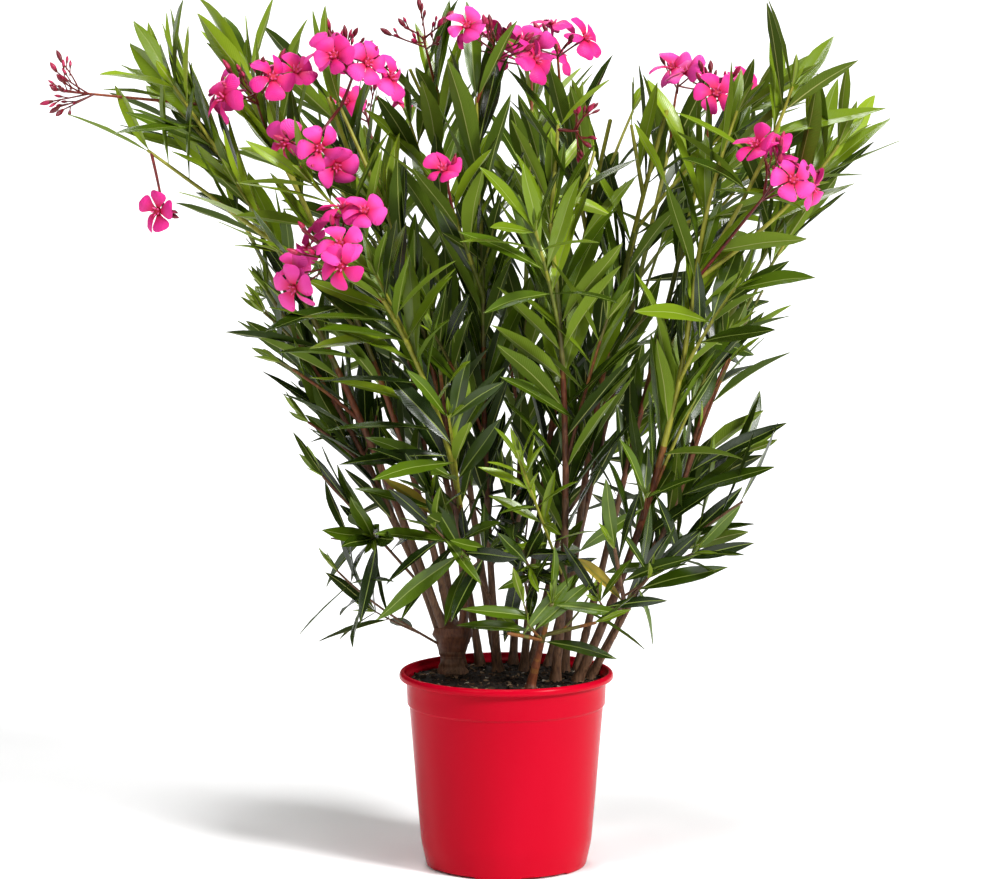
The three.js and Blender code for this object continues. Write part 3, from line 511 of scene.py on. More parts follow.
def grow_leaves(branch, owner, number):
    """Whorls of three leaves down a shoot from its tip, steeper and shorter towards the tip."""
    leaves = []
    at = branch.length - 3
    whorl = 0
    while at >= branch.leafy * branch.length:
        share = at / branch.length
        x = (share - branch.leafy) / (1 - branch.leafy)
        t = branch.t0 + (1 - branch.t0) * share
        root = branch.curve.points(t)
        tangent = branch.curve.tangents(t)
        for k in range(LEAVES_IN_WHORL):
            draw = draws(owner, number, whorl, k)
            turn = math.radians(60 * whorl + 120 * k + 40 * owner + 25 * number + 22 * (2 * draw() - 1))
            out = turned_round(tangent, turn)
            if first_name(owner) in OPEN_FRONTED and out[1] < OPEN_FROM:
                aside = unit(np.cross(tangent, out))
                out = unit(out + (aside if aside[1] > 0 else -aside))
            pitch = LEAF_PITCH["low"] - LEAF_PITCH["drop"] * x + branch.droop
            pitch += LEAF_PITCH["spread"] * (2 * draw() - 1)
            full = LEAF_LENGTH * branch.size * (0.84 + 0.62 * x - 0.66 * x * x) * (0.88 + 0.26 * draw())
            arch = (LEAF_ARCH[0] + (LEAF_ARCH[1] - LEAF_ARCH[0]) * draw()) * (1 - 0.4 * x)
            roll = math.radians(LEAF_ROLL * (2 * draw() - 1))
            room = 1 - CROWN_RAGGED * draw()
            dropped = THINNED_BACK if first_name(owner) == "back" else THINNED
            if root[2] > THINNED_ABOVE and draw() < dropped:
                continue
            for lean, size in LEAF_TRIES:
                leaf = Leaf(root, tangent, out, math.radians(pitch * lean), roll,
                            full * size, arch * (0.4 + 0.6 * lean))
                points = leaf.samples()
                if grown.clear_of(points, LEAF_SPACING) and keeps_to_space(points, owner, room):
                    leaf.settle(owner, number, x, draw())
                    leaves.append(leaf)
                    grown.add(leaf)
                    break
        at -= (INTERNODE_LOW - INTERNODE_DROP * x) * (0.55 + 0.45 * branch.size)
        whorl += 1
    return leaves


def grow_tuft(branch, owner, number):
    """Young leaves that stand round the tip of a shoot."""
    tip = branch.curve.points(1.0)
    tangent = branch.curve.tangents(1.0)
    tuft = []
    for k in range(TUFT_LEAVES):
        draw = draws(owner, number, 900 + k)
        turn = math.radians(GOLDEN_TURN * k + 360 * draw())
        out = turned_round(tangent, turn)
        low, high = TUFT_PITCH
        pitch = math.radians(low + (high - low) * k / TUFT_LEAVES + 6 * draw())
        short, long = TUFT_LENGTH
        length = (short + (long - short) * (k / TUFT_LEAVES)) * (0.8 + 0.4 * draw()) * branch.size
        leaf = Leaf(tip - 2 * tangent, tangent, out, pitch, math.radians(30 * (2 * draw() - 1)), length, 0.05)
        outer = leaf.samples()[4:]
        if keeps_to_space(outer, owner):
            leaf.settle(owner, number, 1.0, draw(), young=True)
            tuft.append(leaf)
    return tuft


def fine_twigs(shoots, owner, count):
    """Short side twigs on the lower part of a mass that keep to its space."""
    twigs = []
    for k in range(count):
        draw = draws(owner, 800 + k)
        host = shoots[k % min(len(shoots), 3)]
        place = min(host.t0 + (1 - host.t0) * (0.12 + 0.6 * (k // 3 + draw()) / 2), 0.95)
        tangent = host.curve.tangents(place)
        turn = math.radians(GOLDEN_TURN * k + 360 * draw())
        least, most = FINE_REACH
        root = host.curve.points(place)
        for trial in range(FINE_TRIES):
            way = unit(tangent + turned_round(tangent, turn + 1.57 * trial))
            curve = Curve(root, root + way * (least + (most - least) * draw()), (4 * way[0], 4 * way[1]))
            if keeps_to_space(curve.points(np.linspace(0.3, 1, 6)), owner):
                twigs.append(Shoot(curve, FINE_RADII, 0.0, 0.25, FINE_LEAF_SIZE, 14))
                break
    return twigs


leaves = []
for cane, index, shoots, heads in growth:
    carriers = [head.on for head in cane.heads]
    for number, shoot in enumerate(shoots):
        leaves += grow_leaves(shoot, index, number)
        if number not in carriers:
            leaves += grow_tuft(shoot, index, number)
for cane, index, shoots, heads in growth:
    for twig in fine_twigs(shoots, index, FINE_TWIGS.get(cane.name, 0)):
        shoots.append(twig)
        leaves += grow_leaves(twig, index, len(shoots))
        leaves += grow_tuft(twig, index, len(shoots))

# ---------------------------------------------------------------- meshes


class Batch:
    """Closed shells joined into one mesh, each face with its own material."""

    def __init__(self):
        self.points = []
        self.quads = []
        self.tris = []
        self.quad_finish = []
        self.tri_finish = []
        self.maps = []
        self.count = 0

    def strips(self, rings, start, end, finish, place):
        """Shells of rings (N, R, K, 3) closed by a point at each end, and a finish for each face."""
        n, r, k, _ = rings.shape
        first = self.count + np.arange(n)[:, None, None] * (r * k + 2)
        shells = [rings.reshape(n, -1, 3), start[:, None], end[:, None]]
        self.points.append(np.concatenate(shells, axis=1).reshape(-1, 3))
        poles = np.tile([[0.5, 0.0], [0.5, 1.0]], (n, 1, 1))
        self.maps.append(np.concatenate([place.reshape(n, -1, 2), poles], axis=1).reshape(-1, 2))
        grid = np.arange(r * k).reshape(r, k)
        turned = np.roll(grid, -1, axis=1)
        body = np.stack([grid[:-1], turned[:-1], turned[1:], grid[1:]], axis=-1).reshape(-1, 4)
        head = np.stack([np.full(k, r * k), turned[0], grid[0]], axis=-1)
        tail = np.stack([np.full(k, r * k + 1), grid[-1], turned[-1]], axis=-1)
        self.quads.append((first + body).reshape(-1, 4))
        self.tris.append((first + np.concatenate([head, tail])).reshape(-1, 3))
        self.quad_finish.append(finish.reshape(-1))
        self.tri_finish.append(np.concatenate([finish[:, 0], finish[:, -1]], axis=1).reshape(-1))
        self.count += n * (r * k + 2)

    def build(self, name, finishes, sharp=60.0):
        """The mesh as a piece that rides on the root, with sharp edges above an angle in degrees."""
        points = np.concatenate(self.points) * MM
        quads = np.concatenate(self.quads)
        tris = np.concatenate(self.tris)
        mesh = bpy.data.meshes.new(name)
        mesh.from_pydata(points.tolist(), [], quads.tolist() + tris.tolist())
        finish = np.concatenate(self.quad_finish + self.tri_finish).astype(np.int32)
        mesh.polygons.foreach_set("material_index", finish)
        mesh.polygons.foreach_set("use_smooth", np.ones(len(finish), bool))
        corners = np.concatenate([quads.reshape(-1), tris.reshape(-1)])
        places = np.concatenate(self.maps)[corners].astype(np.float32)
        mesh.uv_layers.new(name="UVMap").data.foreach_set("uv", places.reshape(-1))
        for finish_name in finishes:
            mesh.materials.append(MATERIALS[finish_name])
        mesh.set_sharp_from_angle(angle=math.radians(sharp))
        mesh.validate()
        piece = bpy.data.objects.new(name, mesh)
        bpy.context.scene.collection.objects.link(piece)
        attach(piece, "root")
        return piece


def strip_map(round_it, along_it, count=1):
    """The place of each point on a strip, round it and along it, for a number of equal strips."""
    grid = np.stack(np.meshgrid(round_it, along_it), axis=-1)
    return np.tile(grid, (count, 1, 1, 1))


def blade_map(columns, rows, count):
    """The place of each point on a thin blade: over its top, back under it, and along it."""
    return strip_map((np.concatenate([columns, columns[-2:0:-1]]) + 1) / 2, rows, count)


def blade_rings(centre, side, face, spread, top, bottom):
    """Rings round thin blades. centre, side, face: (N, R, 3); spread, top, bottom: (N, R, K)."""
    flat = centre[:, :, None] + side[:, :, None] * spread[..., None]
    upper = flat + face[:, :, None] * top[..., None]
    lower = flat + face[:, :, None] * bottom[..., None]
    return np.concatenate([upper, lower[:, :, -2:0:-1]], axis=2)


# ---------------------------------------------------------------- leaves

LEAF_ROWS = np.array([0.02, 0.055, 0.1, 0.17, 0.27, 0.38, 0.5, 0.62, 0.74, 0.85, 0.93, 0.98])
LEAF_SHARE = np.array([0.085, 0.09, 0.22, 0.46, 0.72, 0.91, 1.0, 0.98, 0.82, 0.55, 0.28, 0.09])
LEAF_COLUMNS = np.array([-1.0, -0.55, 0.0, 0.0, 0.55, 1.0])
LEAF_INNER = np.array([0, 1, 1, 1, 1, 0])  # columns that have thickness
RIB = np.array([0.0, 0.0, -1.0, 1.0, 0.0, 0.0])  # columns at each side of the middle rib
RIB_RISE = 0.12
LEAF_SKIN = 0.28  # half the thickness of the blade
LEAST_HALF = 0.55  # half the width of the stalk
# From deep to bright: partly the leaves' own range of tone, partly painted shade and light, as leaf_shade
# deals them out.
TOPS = ["leaf_deep", "leaf_dark", "leaf_mid", "leaf_bright", "leaf_lime", "leaf_yellow"]
UNDERS = ["under_deep", "under_dark", "under_mid", "under_bright", "leaf_lime", "leaf_yellow"]
BRIGHT, LIME, YELLOW = 3, 4, 5
LEAF_FINISHES = TOPS + UNDERS[:LIME] + ["rib_green", "rib_pale"]
SHADE_LIMITS = (0.2, 0.42, 0.66, 0.93)
# The lower-left masses (whip, low_left, left_low) are set darker as painted shade; young and low_front are
# set lighter.
SHADE_OFFSETS = {"young": 0.5, "low_front": 0.3, "whip": -0.3, "low_left": -0.15, "left_low": -0.12}

# Single leaves that stand out: the leaf nearest to each place takes that shade.
MARKED_LEAVES = [((-88, -40, 408), YELLOW), ((118, -70, 350), YELLOW)] + [(place, LIME) for place in [
    (-129, -120, 537), (-48, -110, 520), (-67, -130, 588), (-184, -170, 612), (-240, -90, 745),
    (260, -60, 620), (20, -120, 440), (60, -120, 690), (190, -110, 640), (330, -60, 850),
]]


def leaf_shade(leaf):
    """Which green a leaf has: darker low down and inside the crown as painted shade, brighter above as
    painted light, with luck of its spray.
    """
    if leaf.shade is not None:
        return leaf.shade
    if leaf.young:
        return LIME if leaf.luck < 0.25 else BRIGHT
    spray_luck = draws(leaf.mass, leaf.shoot, 77)()
    # painted light and shade: the higher a leaf stands, the brighter its green, and low leaves get darker
    # greens
    height = np.clip((leaf.root[2] - 330) / 480, 0, 1)
    # painted shade: leaves near the middle of the crown get darker greens
    inside = np.clip(1 - np.hypot(0.8 * leaf.root[0], leaf.root[1] - CROWN_MIDDLE_Y) / 160, 0, 1)
    value = 0.22 + 0.4 * height - 0.24 * inside + 0.1 * leaf.x + 0.3 * (spray_luck - 0.5)
    value += 0.72 * (leaf.luck - 0.5) + SHADE_OFFSETS.get(CANES[leaf.mass].name, 0)
    return int(np.searchsorted(SHADE_LIMITS, value, side="right"))


def build_leaves(name, chosen):
    """Arching, folded, slightly twisted blades with a raised middle rib, joined into one piece."""

    def of_all(field):
        return np.array([getattr(leaf, field) for leaf in chosen], float)

    length = of_all("length")[:, None, None]
    arch = of_all("arch")[:, None, None]
    luck = of_all("luck")[:, None, None]
    root = of_all("root")[:, None]
    way = of_all("way")[:, None]
    face = of_all("face")[:, None]
    side = of_all("side")[:, None]
    rows = LEAF_ROWS[:, None]
    sag = ARCH_BACK * face + ARCH_DOWN * UP
    wander = np.sin(2 * np.pi * (rows * (0.7 + 0.6 * luck) + 7 * luck)) * length * 0.012 * rows
    centre = root + way * length * rows - sag * length * arch * rows * rows + side * wander
    end = (root + way * length - sag * length * arch)[:, 0]
    twist = (luck - 0.5) * 1.1 * (rows - 0.3)
    turned_side = side * np.cos(twist) + face * np.sin(twist)
    turned_face = face * np.cos(twist) - side * np.sin(twist)
    plump = 0.86 + 0.26 * ((luck * 5) % 1)
    half = np.maximum((length * LEAF_WIDTH * 0.5) * LEAF_SHARE[:, None] * plump, LEAST_HALF)
    spread = LEAF_COLUMNS * half + RIB * np.minimum(0.75 - 0.5 * rows, 0.3 * half)
    fold = 0.16 + 0.34 * ((luck * 3) % 1)
    ripple = np.sin(2 * np.pi * (rows * 3 + 11 * luck)) * 0.05
    edge = np.abs(LEAF_COLUMNS)
    lift = edge * half * (fold + ripple) - 0.06 * half * edge**2
    skin = np.minimum(LEAF_SKIN, 0.4 * half) * LEAF_INNER
    top = lift + skin - RIB * RIB * RIB_RISE
    bottom = lift - skin - RIB * RIB * np.minimum(0.5 - 0.3 * rows, 0.4 * half)
    rings = blade_rings(centre, turned_side, turned_face, spread, top, bottom)
    shade = np.array([leaf_shade(leaf) for leaf in chosen])
    under = np.array([LEAF_FINISHES.index(finish) for finish in UNDERS])[shade]
    top_faces = len(LEAF_COLUMNS) - 1
    pattern = np.empty((len(chosen), rings.shape[2]), int)
    pattern[:, :top_faces] = shade[:, None]
    pattern[:, top_faces:] = under[:, None]
    pattern[:, 2] = LEAF_FINISHES.index("rib_green")
    pattern[:, 7] = LEAF_FINISHES.index("rib_pale")
    finish = np.repeat(pattern[:, None], len(LEAF_ROWS) - 1, axis=1)
    batch = Batch()
    batch.strips(rings, root[:, 0], end, finish, blade_map(LEAF_COLUMNS, LEAF_ROWS, len(chosen)))
    return batch.build(name, LEAF_FINISHES, sharp=50)


# ---------------------------------------------------------------- round limbs and twigs


def noise_rows(rows, columns, seed, smooth):
    """Soft random relief for a limb, wrapped round it."""
    table = np.random.default_rng(seed).normal(size=(rows, columns))
    for _ in range(smooth):
        table = (table + np.roll(table, 1, 1) + np.roll(table, -1, 1)) / 3
        table = (np.vstack([table[:1], table[:-1]]) + table + np.vstack([table[1:], table[-1:]])) / 3
    return table / table.std()


def add_tube(batch, points, radii, sides, finish, relief=0, foot=None):
    """A round limb through points, closed at both ends, with one finish or one for each point."""
    points = np.asarray(points, float)
    radii = np.asarray(radii, float)
    rows = len(points)
    tangent = unit(np.gradient(points, axis=0))
    first, _ = across(tangent[rows // 2])
    side = unit(first - tangent * (tangent @ first)[:, None])
    other = np.cross(side, tangent)
    turn = 2 * np.pi * np.arange(sides)[None, :, None] / sides
    swell = (radii[:, None] + relief)[..., None]
    ring = points[:, None] + side[:, None] * (np.cos(turn) * swell) - other[:, None] * (np.sin(turn) * swell)
    start = points[0].copy()
    end = points[-1] + tangent[-1] * radii[-1] * 0.5
    if foot is not None:
        ring[0, :, 2] = foot
        start[2] = foot
    faces = np.repeat(np.broadcast_to(finish, rows)[None, :-1, None], sides, axis=2)
    place = strip_map(np.arange(sides) / sides, np.linspace(0, 1, rows))
    batch.strips(ring[None], start[None], end[None], faces, place)


# ---------------------------------------------------------------- stump and canes

BARK_FINISHES = ["bark_grey", "bark_brown", "bark_red", "bark_rust", "stem_olive", "stem_green", "stem_lime"]
BARK_STEPS = (-150, -70, -25, 12, 60, 130)  # heights round GREEN_FROM where each finish gives way to the next
GREEN_FROM = {"left_front": 400, "right": 470, "young": 250, "low_front": 270, "whip": 900}
GREEN_USUALLY = 560
LIME_STEMS = ("left_front", "right", "young")
BURIED = 6  # how far a cane's foot goes on into the soil
NODE_STEP = 36  # between the rings that old whorls leave on a cane
NODE_SOFTNESS = 1.8
BARK_SIDES = 18
BARK_ROW = 5  # from one ring of points to the next


def stem_finish(name, height, luck):
    """Bark low down, turning red, rust and then green on the way up."""
    above = height - GREEN_FROM.get(name, GREEN_USUALLY) + 50 * (luck - 0.5)
    level = int(np.searchsorted(BARK_STEPS, above))
    if name in LIME_STEMS and BARK_FINISHES[level].startswith("stem"):
        return BARK_FINISHES.index("stem_lime")
    return level


def stem_finishes(name, points, seed):
    luck = np.random.default_rng(seed).random(len(points))
    return [stem_finish(name, point[2], value) for point, value in zip(points, luck)]


def node_swell(run, strength):
    """Rings of swelling along a limb."""
    away = (run / NODE_STEP + 0.5) % 1 - 0.5
    return strength * np.exp(-((away * NODE_STEP / NODE_SOFTNESS) ** 2))[:, None]


bark = Batch()
for cane, index, shoots, _ in growth:
    if cane.bare == 0:
        continue
    curve = shoots[0].curve
    places = np.linspace(0, 1, max(14, int(curve.length * cane.bare / BARK_ROW)))
    points = curve.points(places * cane.bare)
    from_soil = cane.foot[2] == CANE_FOOT
    profile = (CANE_FLARE if from_soil else [(0, 1)]) + [(1, CANE_TAPER)]
    radii = cane.radius * along(profile, places)
    if from_soil:
        points = np.vstack([points[0] - BURIED * UP, points])
        radii = np.concatenate([radii[:1], radii])
    run = np.concatenate([[0], np.cumsum(np.linalg.norm(np.diff(points, axis=0), axis=1))])
    coarse = noise_rows(len(points), BARK_SIDES, 10 + index, 3)
    fine = noise_rows(len(points), BARK_SIDES, 60 + index, 1)
    relief = 0.028 * radii[:, None] * coarse + 0.07 * fine + node_swell(run + 11 * index, 0.55)
    fade = np.minimum(1, (run[-1] - run) / 8)[:, None]
    add_tube(bark, points, radii, BARK_SIDES, stem_finishes(cane.name, points, 200 + index),
             relief * fade, points[0][2] if from_soil else None)

STUMP_ROWS = 44
STUMP_SIDES = 40
STUMP_RIDGES = 5
GREY_UP_TO = 0.55
places = np.linspace(0, 1, STUMP_ROWS)
stump_low = np.array(STUMP_FOOT) - BURIED * UP
stump_points = stump_low + (np.array(STUMP_TOP) - stump_low) * places[:, None]
heights = np.clip((stump_points[:, 2] - STUMP_FOOT[2]) / (STUMP_TOP[2] - STUMP_FOOT[2]), 0, 1)
ridges = np.sin(np.arange(STUMP_SIDES) * 2 * np.pi * STUMP_RIDGES / STUMP_SIDES + 2 * places[:, None])
stump_relief = 0.55 * noise_rows(STUMP_ROWS, STUMP_SIDES, 5, 4)
stump_relief += 0.25 * noise_rows(STUMP_ROWS, STUMP_SIDES, 6, 1)
stump_relief += 0.8 * ridges * np.sin(np.pi * heights)[:, None]
stump_finish = places + 0.3 * np.random.default_rng(3).random(STUMP_ROWS) >= GREY_UP_TO
add_tube(bark, stump_points, along(STUMP_RADII, heights), STUMP_SIDES, stump_finish.astype(int),
         stump_relief, stump_points[0][2])

# ---------------------------------------------------------------- green stems inside the masses

STEM_SIDES = 10
TWIG_SIDES = 7
STEM_ROW = 12  # from one ring of points to the next
STEM_OVERLAP = 2.5  # how far a stem reaches back into its bare cane
stems = Batch()
for cane, index, shoots, heads in growth:
    for number, shoot in enumerate(shoots):
        is_stem = number == 0
        sides = STEM_SIDES if is_stem else TWIG_SIDES
        places = np.linspace(0, 1, max(8, int(shoot.length / STEM_ROW)))
        back = STEM_OVERLAP / shoot.curve.length if is_stem and cane.bare > 0 else 0
        points = shoot.curve.points(shoot.t0 - back + (1 - shoot.t0 + back) * places)
        low, high = shoot.radii
        radii = low + (high - low) * places
        if is_stem:
            radii[0] -= 0.15
        relief = np.repeat(node_swell(places * shoot.length + 7 * number, 0.25), sides, axis=1)
        finish = stem_finishes(cane.name, points, 300 + 20 * index + number)
        add_tube(stems, points, radii, sides, finish, relief)

# ---------------------------------------------------------------- blossom

BLOSSOM_FINISHES = ["petal", "petal_pale", "petal_throat", "petal_back", "petal_heart", "bud", "bud_dark",
                    "stalk_rust", "stalk_red"]
PETAL_ROWS = np.array([0.03, 0.13, 0.27, 0.43, 0.6, 0.76, 0.89, 0.97])
PETAL_SHARE = np.array([0.26, 0.34, 0.5, 0.74, 0.95, 1.0, 0.86, 0.5])
PETAL_COLUMNS = np.array([-1.0, -0.5, 0.0, 0.5, 1.0])
PETAL_INNER = np.array([0, 1, 1, 1, 0])  # columns that have thickness
PETAL_HALF = 10.5
PETAL_SKIN = 0.22
PETALS = 5
THROAT = 3.2  # from the middle of a flower to where its petals start
FUNNEL_DEPTHS = np.array([-19.0, -15, -11, -7, -3.5, -1.0])
FUNNEL_RADII = [1.2, 1.5, 1.8, 2.7, 3.9, 4.4]
BUD_SHARES = np.array([0.0, 0.12, 0.3, 0.5, 0.7, 0.86, 0.97])
BUD_SWELL = np.array([0.45, 0.62, 0.85, 1.0, 0.82, 0.48, 0.14])


def finish_of(name):
    return BLOSSOM_FINISHES.index(name)


def add_bloom(batch, place, way, key):
    """A five-petalled flower: a funnel, petals that overlap like a pinwheel, and a frilled heart."""
    draw = draws(*key, 41)
    way = unit(way)
    first, second = across(way)
    size = BLOOM_RADIUS * (1.0 + 0.16 * draw())
    spin = 2 * math.pi * draw()
    closing = 9 * draw() ** 1.5
    shade = finish_of("petal_pale") if draw() < 0.35 else finish_of("petal")
    lucks = np.array([draw() for _ in range(PETALS)])[:, None, None]
    turn = spin + 2 * math.pi * np.arange(PETALS)[:, None, None] / PETALS + 0.12 * (lucks - 0.5)
    out = first * np.cos(turn) + second * np.sin(turn)
    around = -first * np.sin(turn) + second * np.cos(turn)
    rows = PETAL_ROWS[:, None]
    reach = THROAT + (size - THROAT) * rows * (1 - 0.02 * closing)
    rise = -3 + 10 * rows - (9 + 9 * lucks - closing) * rows**2
    shift = (1.6 + 4 * lucks) * rows**2
    centre = place + out * reach + way * rise + around * shift
    tilt = 0.9 * (lucks - 0.35) + 0.12
    side = -(around * np.cos(tilt) + way * np.sin(tilt))
    face = way * np.cos(tilt) - around * np.sin(tilt)
    half = PETAL_HALF * size / BLOOM_RADIUS * PETAL_SHARE[None, :, None]
    ruffle = 0.09 * np.sin(4 * PETAL_COLUMNS + 5 * rows + 20 * lucks) * rows
    lift = half * (0.1 * (1 - PETAL_COLUMNS**2) - 0.2 * PETAL_COLUMNS**2 * rows + ruffle)
    skin = PETAL_SKIN * PETAL_INNER
    rings = blade_rings(centre, side, face, PETAL_COLUMNS * half, lift + skin, lift - skin)
    finish = np.full((PETALS, len(PETAL_ROWS) - 1, rings.shape[2]), shade)
    finish[:, :, len(PETAL_COLUMNS) - 1:] = finish_of("petal_back")
    finish[:, 0] = finish_of("petal_throat")
    end = centre[:, -1] + (centre[:, -1] - centre[:, -2]) * 0.25
    batch.strips(rings, centre[:, 0] - out[:, 0] * 0.4, end, finish,
                 blade_map(PETAL_COLUMNS, PETAL_ROWS, PETALS))
    funnel = [finish_of(name) for name in ["stalk_rust"] + ["petal_back"] * 3 + ["petal_throat"] * 2]
    add_tube(batch, place + way * FUNNEL_DEPTHS[:, None], FUNNEL_RADII, 10, funnel)
    for k in range(PETALS):
        angle = spin + 2 * math.pi * (k + 0.5) / PETALS
        lean = turned_round(way, angle)
        base = place + lean * 3.0 - way * 1.5
        frill = [base, base + way * 2.5 + lean * 0.8, base + way * 5 + lean * 2.4]
        add_tube(batch, frill, [0.9, 1.1, 0.25], 5, finish_of("petal_heart"))


def add_bud(batch, foot, way, length, girth, dark):
    """A pointed bud on a short red calyx."""
    body = finish_of("bud_dark" if dark else "bud")
    points = foot + unit(way) * (BUD_SHARES * length)[:, None]
    add_tube(batch, points, BUD_SWELL * girth, 7, [finish_of("stalk_red")] * 2 + [body] * 5)


def add_stalk(batch, a, b, radii, finish, bow):
    places = np.linspace(0, 1, 7)
    add_tube(batch, Curve(a, b, bow).points(places), radii[0] + (radii[1] - radii[0]) * places, 6,
             finish_of(finish))


blossom = Batch()
for cane, index, shoots, heads in growth:
    for head in heads:
        root, middle = head["root"], head["middle"]
        run = middle - root
        up = unit(run)
        draw = draws(*head["key"], 31)
        peduncle = "stalk_rust" if draw() < 0.6 else "stalk_red"
        bow = (3 * (draw() - 0.5), 3 * (draw() - 0.5))
        add_stalk(blossom, root, middle + 2 * up, (2.0, 1.3), peduncle, bow)
        for k, place in enumerate(head["buds"] + head["blooms"]):
            draw = draws(*head["key"], 51, k)
            start = root + run * (0.72 + 0.28 * draw())
            away = place - middle
            bow = (4 * (draw() - 0.5) - 0.04 * away[0], 4 * (draw() - 0.5) - 0.04 * away[1])
            if k < len(head["buds"]):
                outward = unit(unit(away) + 0.35 * up + 0.25 * UP)
                add_stalk(blossom, start, place, (1.1, 0.8), "stalk_red", bow)
                add_bud(blossom, place - outward, outward, 13 + 5 * draw(), 2.7 + 0.5 * draw(), draw() < 0.4)
                for twin in range(2):
                    lean = unit(outward + 0.9 * np.array([draw() - 0.5, draw() - 0.5, draw() - 0.3]))
                    foot = start + (place - start) * (0.55 + 0.2 * twin)
                    end = foot + lean * (7 + 5 * draw())
                    add_stalk(blossom, foot, end, (0.8, 0.7), "stalk_red", (0, 0))
                    add_bud(blossom, end - lean, lean, 8 + 4 * draw(), 1.7 + 0.4 * draw(), draw() < 0.6)
            else:
                forward = -1.6 if up[2] < 0 else -0.42
                nod = np.array([0.9 * (draw() - 0.5), forward, 0.7 * (draw() - 0.4)])
                facing = unit(0.8 * unit(away) + 0.4 * up + nod)
                add_stalk(blossom, start, place - facing * 18, (1.2, 1.0), "stalk_red", bow)
                add_bloom(blossom, place, facing, (*head["key"], k))

# ---------------------------------------------------------------- pot and soil


def revolve(batch, profile, sectors, shape, phase=0.0):
    """A body of revolution; its profile runs from the lower pole to the upper one, both on the axis."""
    profile = np.array(profile, float)
    turn = phase + 2 * np.pi * np.arange(sectors) / sectors
    radius, height = profile[1:-1, :1], profile[1:-1, 1:]
    rings = np.stack([radius * np.cos(turn), radius * np.sin(turn), height + 0 * turn], axis=-1)
    poles = np.array([[0, 0, profile[0, 1]], [0, 0, profile[-1, 1]]])
    faces = np.zeros((1, len(radius) - 1, sectors), int)
    place = strip_map(np.arange(sectors) / sectors, np.linspace(0, 1, len(radius)))
    batch.strips(shape(rings, turn)[None], poles[:1], poles[1:], faces, place)


def rounded_profile(corners):
    """A profile of (radius, height, rounding) corners with each corner rounded by its own amount."""
    points = []
    for before, here, after in zip([corners[0]] + corners[:-1], corners, corners[1:] + [corners[-1]]):
        corner, rounding = np.array(here[:2], float), here[2]
        if rounding == 0:
            points.append(corner)
            continue
        a, b = (corner + rounding * unit(np.array(other[:2]) - corner) for other in (before, after))
        for t in np.linspace(0, 1, 5 if rounding > 1 else 3):
            points.append((1 - t) ** 2 * a + 2 * t * (1 - t) * corner + t * t * b)
    return points


POT_SECTORS = 150
NOTCHES = 5
NOTCH_TURN = 360 / NOTCHES
NOTCH_FIRST = -78.5
NOTCH_WIDTH = 36
NOTCH_HEIGHT = 2
NOTCH_INNER = 80
DRAIN_RADIUS = 6
DRAIN_AT = 68
POT_UNDERSIDE = [(0, 0, 0), (40, 0, 0), (79.6, 0, 0), (80.2, 0, 0)]
POT_OUTSIDE = [(89.5, 0, 1.0), (90.6, 3, 0.6), (92.6, 12, 0), (96, 28, 6), (100.5, 80, 0), (104.6, 130, 0)]
POT_BAND = [(108.8, 181, 0.5), (111, 183.4, 0.5), (111.5, 197, 0), (112, 211, 0.6)]
POT_LIP = [(118, 211.2, 1), (POT_RIM_RADIUS, 212.8, 1.2), (POT_RIM_RADIUS, 217, 2), (117.6, POT_HEIGHT, 1.8),
           (114.4, 219.6, 1.4), (113.2, 214.4, 1.2)]
POT_INSIDE = [(110, 211, 1.2), (109, 184, 1), (106.8, 181, 1), (94, 28, 5), (88.2, 3.4, 1),
              (87.4, POT_BASE, 0), (40, POT_BASE, 0), (0, POT_BASE, 0)]


def pot_feet(rings, turn):
    """Raises the foot edge over the shallow notches."""
    notch = (np.degrees(turn) - NOTCH_FIRST) % NOTCH_TURN < NOTCH_WIDTH + 0.01
    radius = np.hypot(rings[..., 0], rings[..., 1])
    low = (rings[..., 2] < NOTCH_HEIGHT) & (radius > NOTCH_INNER) & notch
    rings[..., 2] = np.where(low, NOTCH_HEIGHT, rings[..., 2])
    return rings


pot_batch = Batch()
pot_profile = rounded_profile(POT_UNDERSIDE + POT_OUTSIDE + POT_BAND + POT_LIP + POT_INSIDE)
revolve(pot_batch, pot_profile, POT_SECTORS, pot_feet, math.radians(NOTCH_FIRST))

SOIL_FLOOR = POT_BASE + CLEARANCE
SOIL_SIDE = [(0, SOIL_FLOOR), (60, SOIL_FLOOR), (86, SOIL_FLOOR), (93, 28), (106, 181), (108.6, 185),
             (109.3, 204)]
SOIL_RADII = np.linspace(109.5, 3, 30)
SOIL_SECTORS = 90
SOIL_GRAIN = 0.45


def soil_height(x, y):
    """Uneven potting soil: lumps of several sizes, banked a little round the middle."""
    lumps = (np.sin(0.11 * x + 1.3 * np.sin(0.07 * y)) * np.cos(0.13 * y + 0.4) * 1.1
             + np.sin(0.31 * x + 2.1) * np.sin(0.37 * y + 0.7) * 0.8
             + np.sin(0.83 * x + 0.9 * np.sin(0.5 * y)) * np.sin(0.71 * y) * 0.5)
    return SOIL_LEVEL - 0.5 + lumps - 0.0001 * (x * x + y * y)


def soil_lumps(rings, turn):
    """Gives the flat top its lumps and grain."""
    top = rings[..., 2] > SOIL_LEVEL - 1
    grain = np.random.default_rng(9).normal(size=top.shape) * SOIL_GRAIN
    rings[..., 2] = np.where(top, soil_height(rings[..., 0], rings[..., 1]) + grain, rings[..., 2])
    return rings


soil_batch = Batch()
soil_top = [(radius, SOIL_LEVEL) for radius in SOIL_RADII]
revolve(soil_batch, SOIL_SIDE + soil_top + [(0, SOIL_LEVEL)], SOIL_SECTORS, soil_lumps)

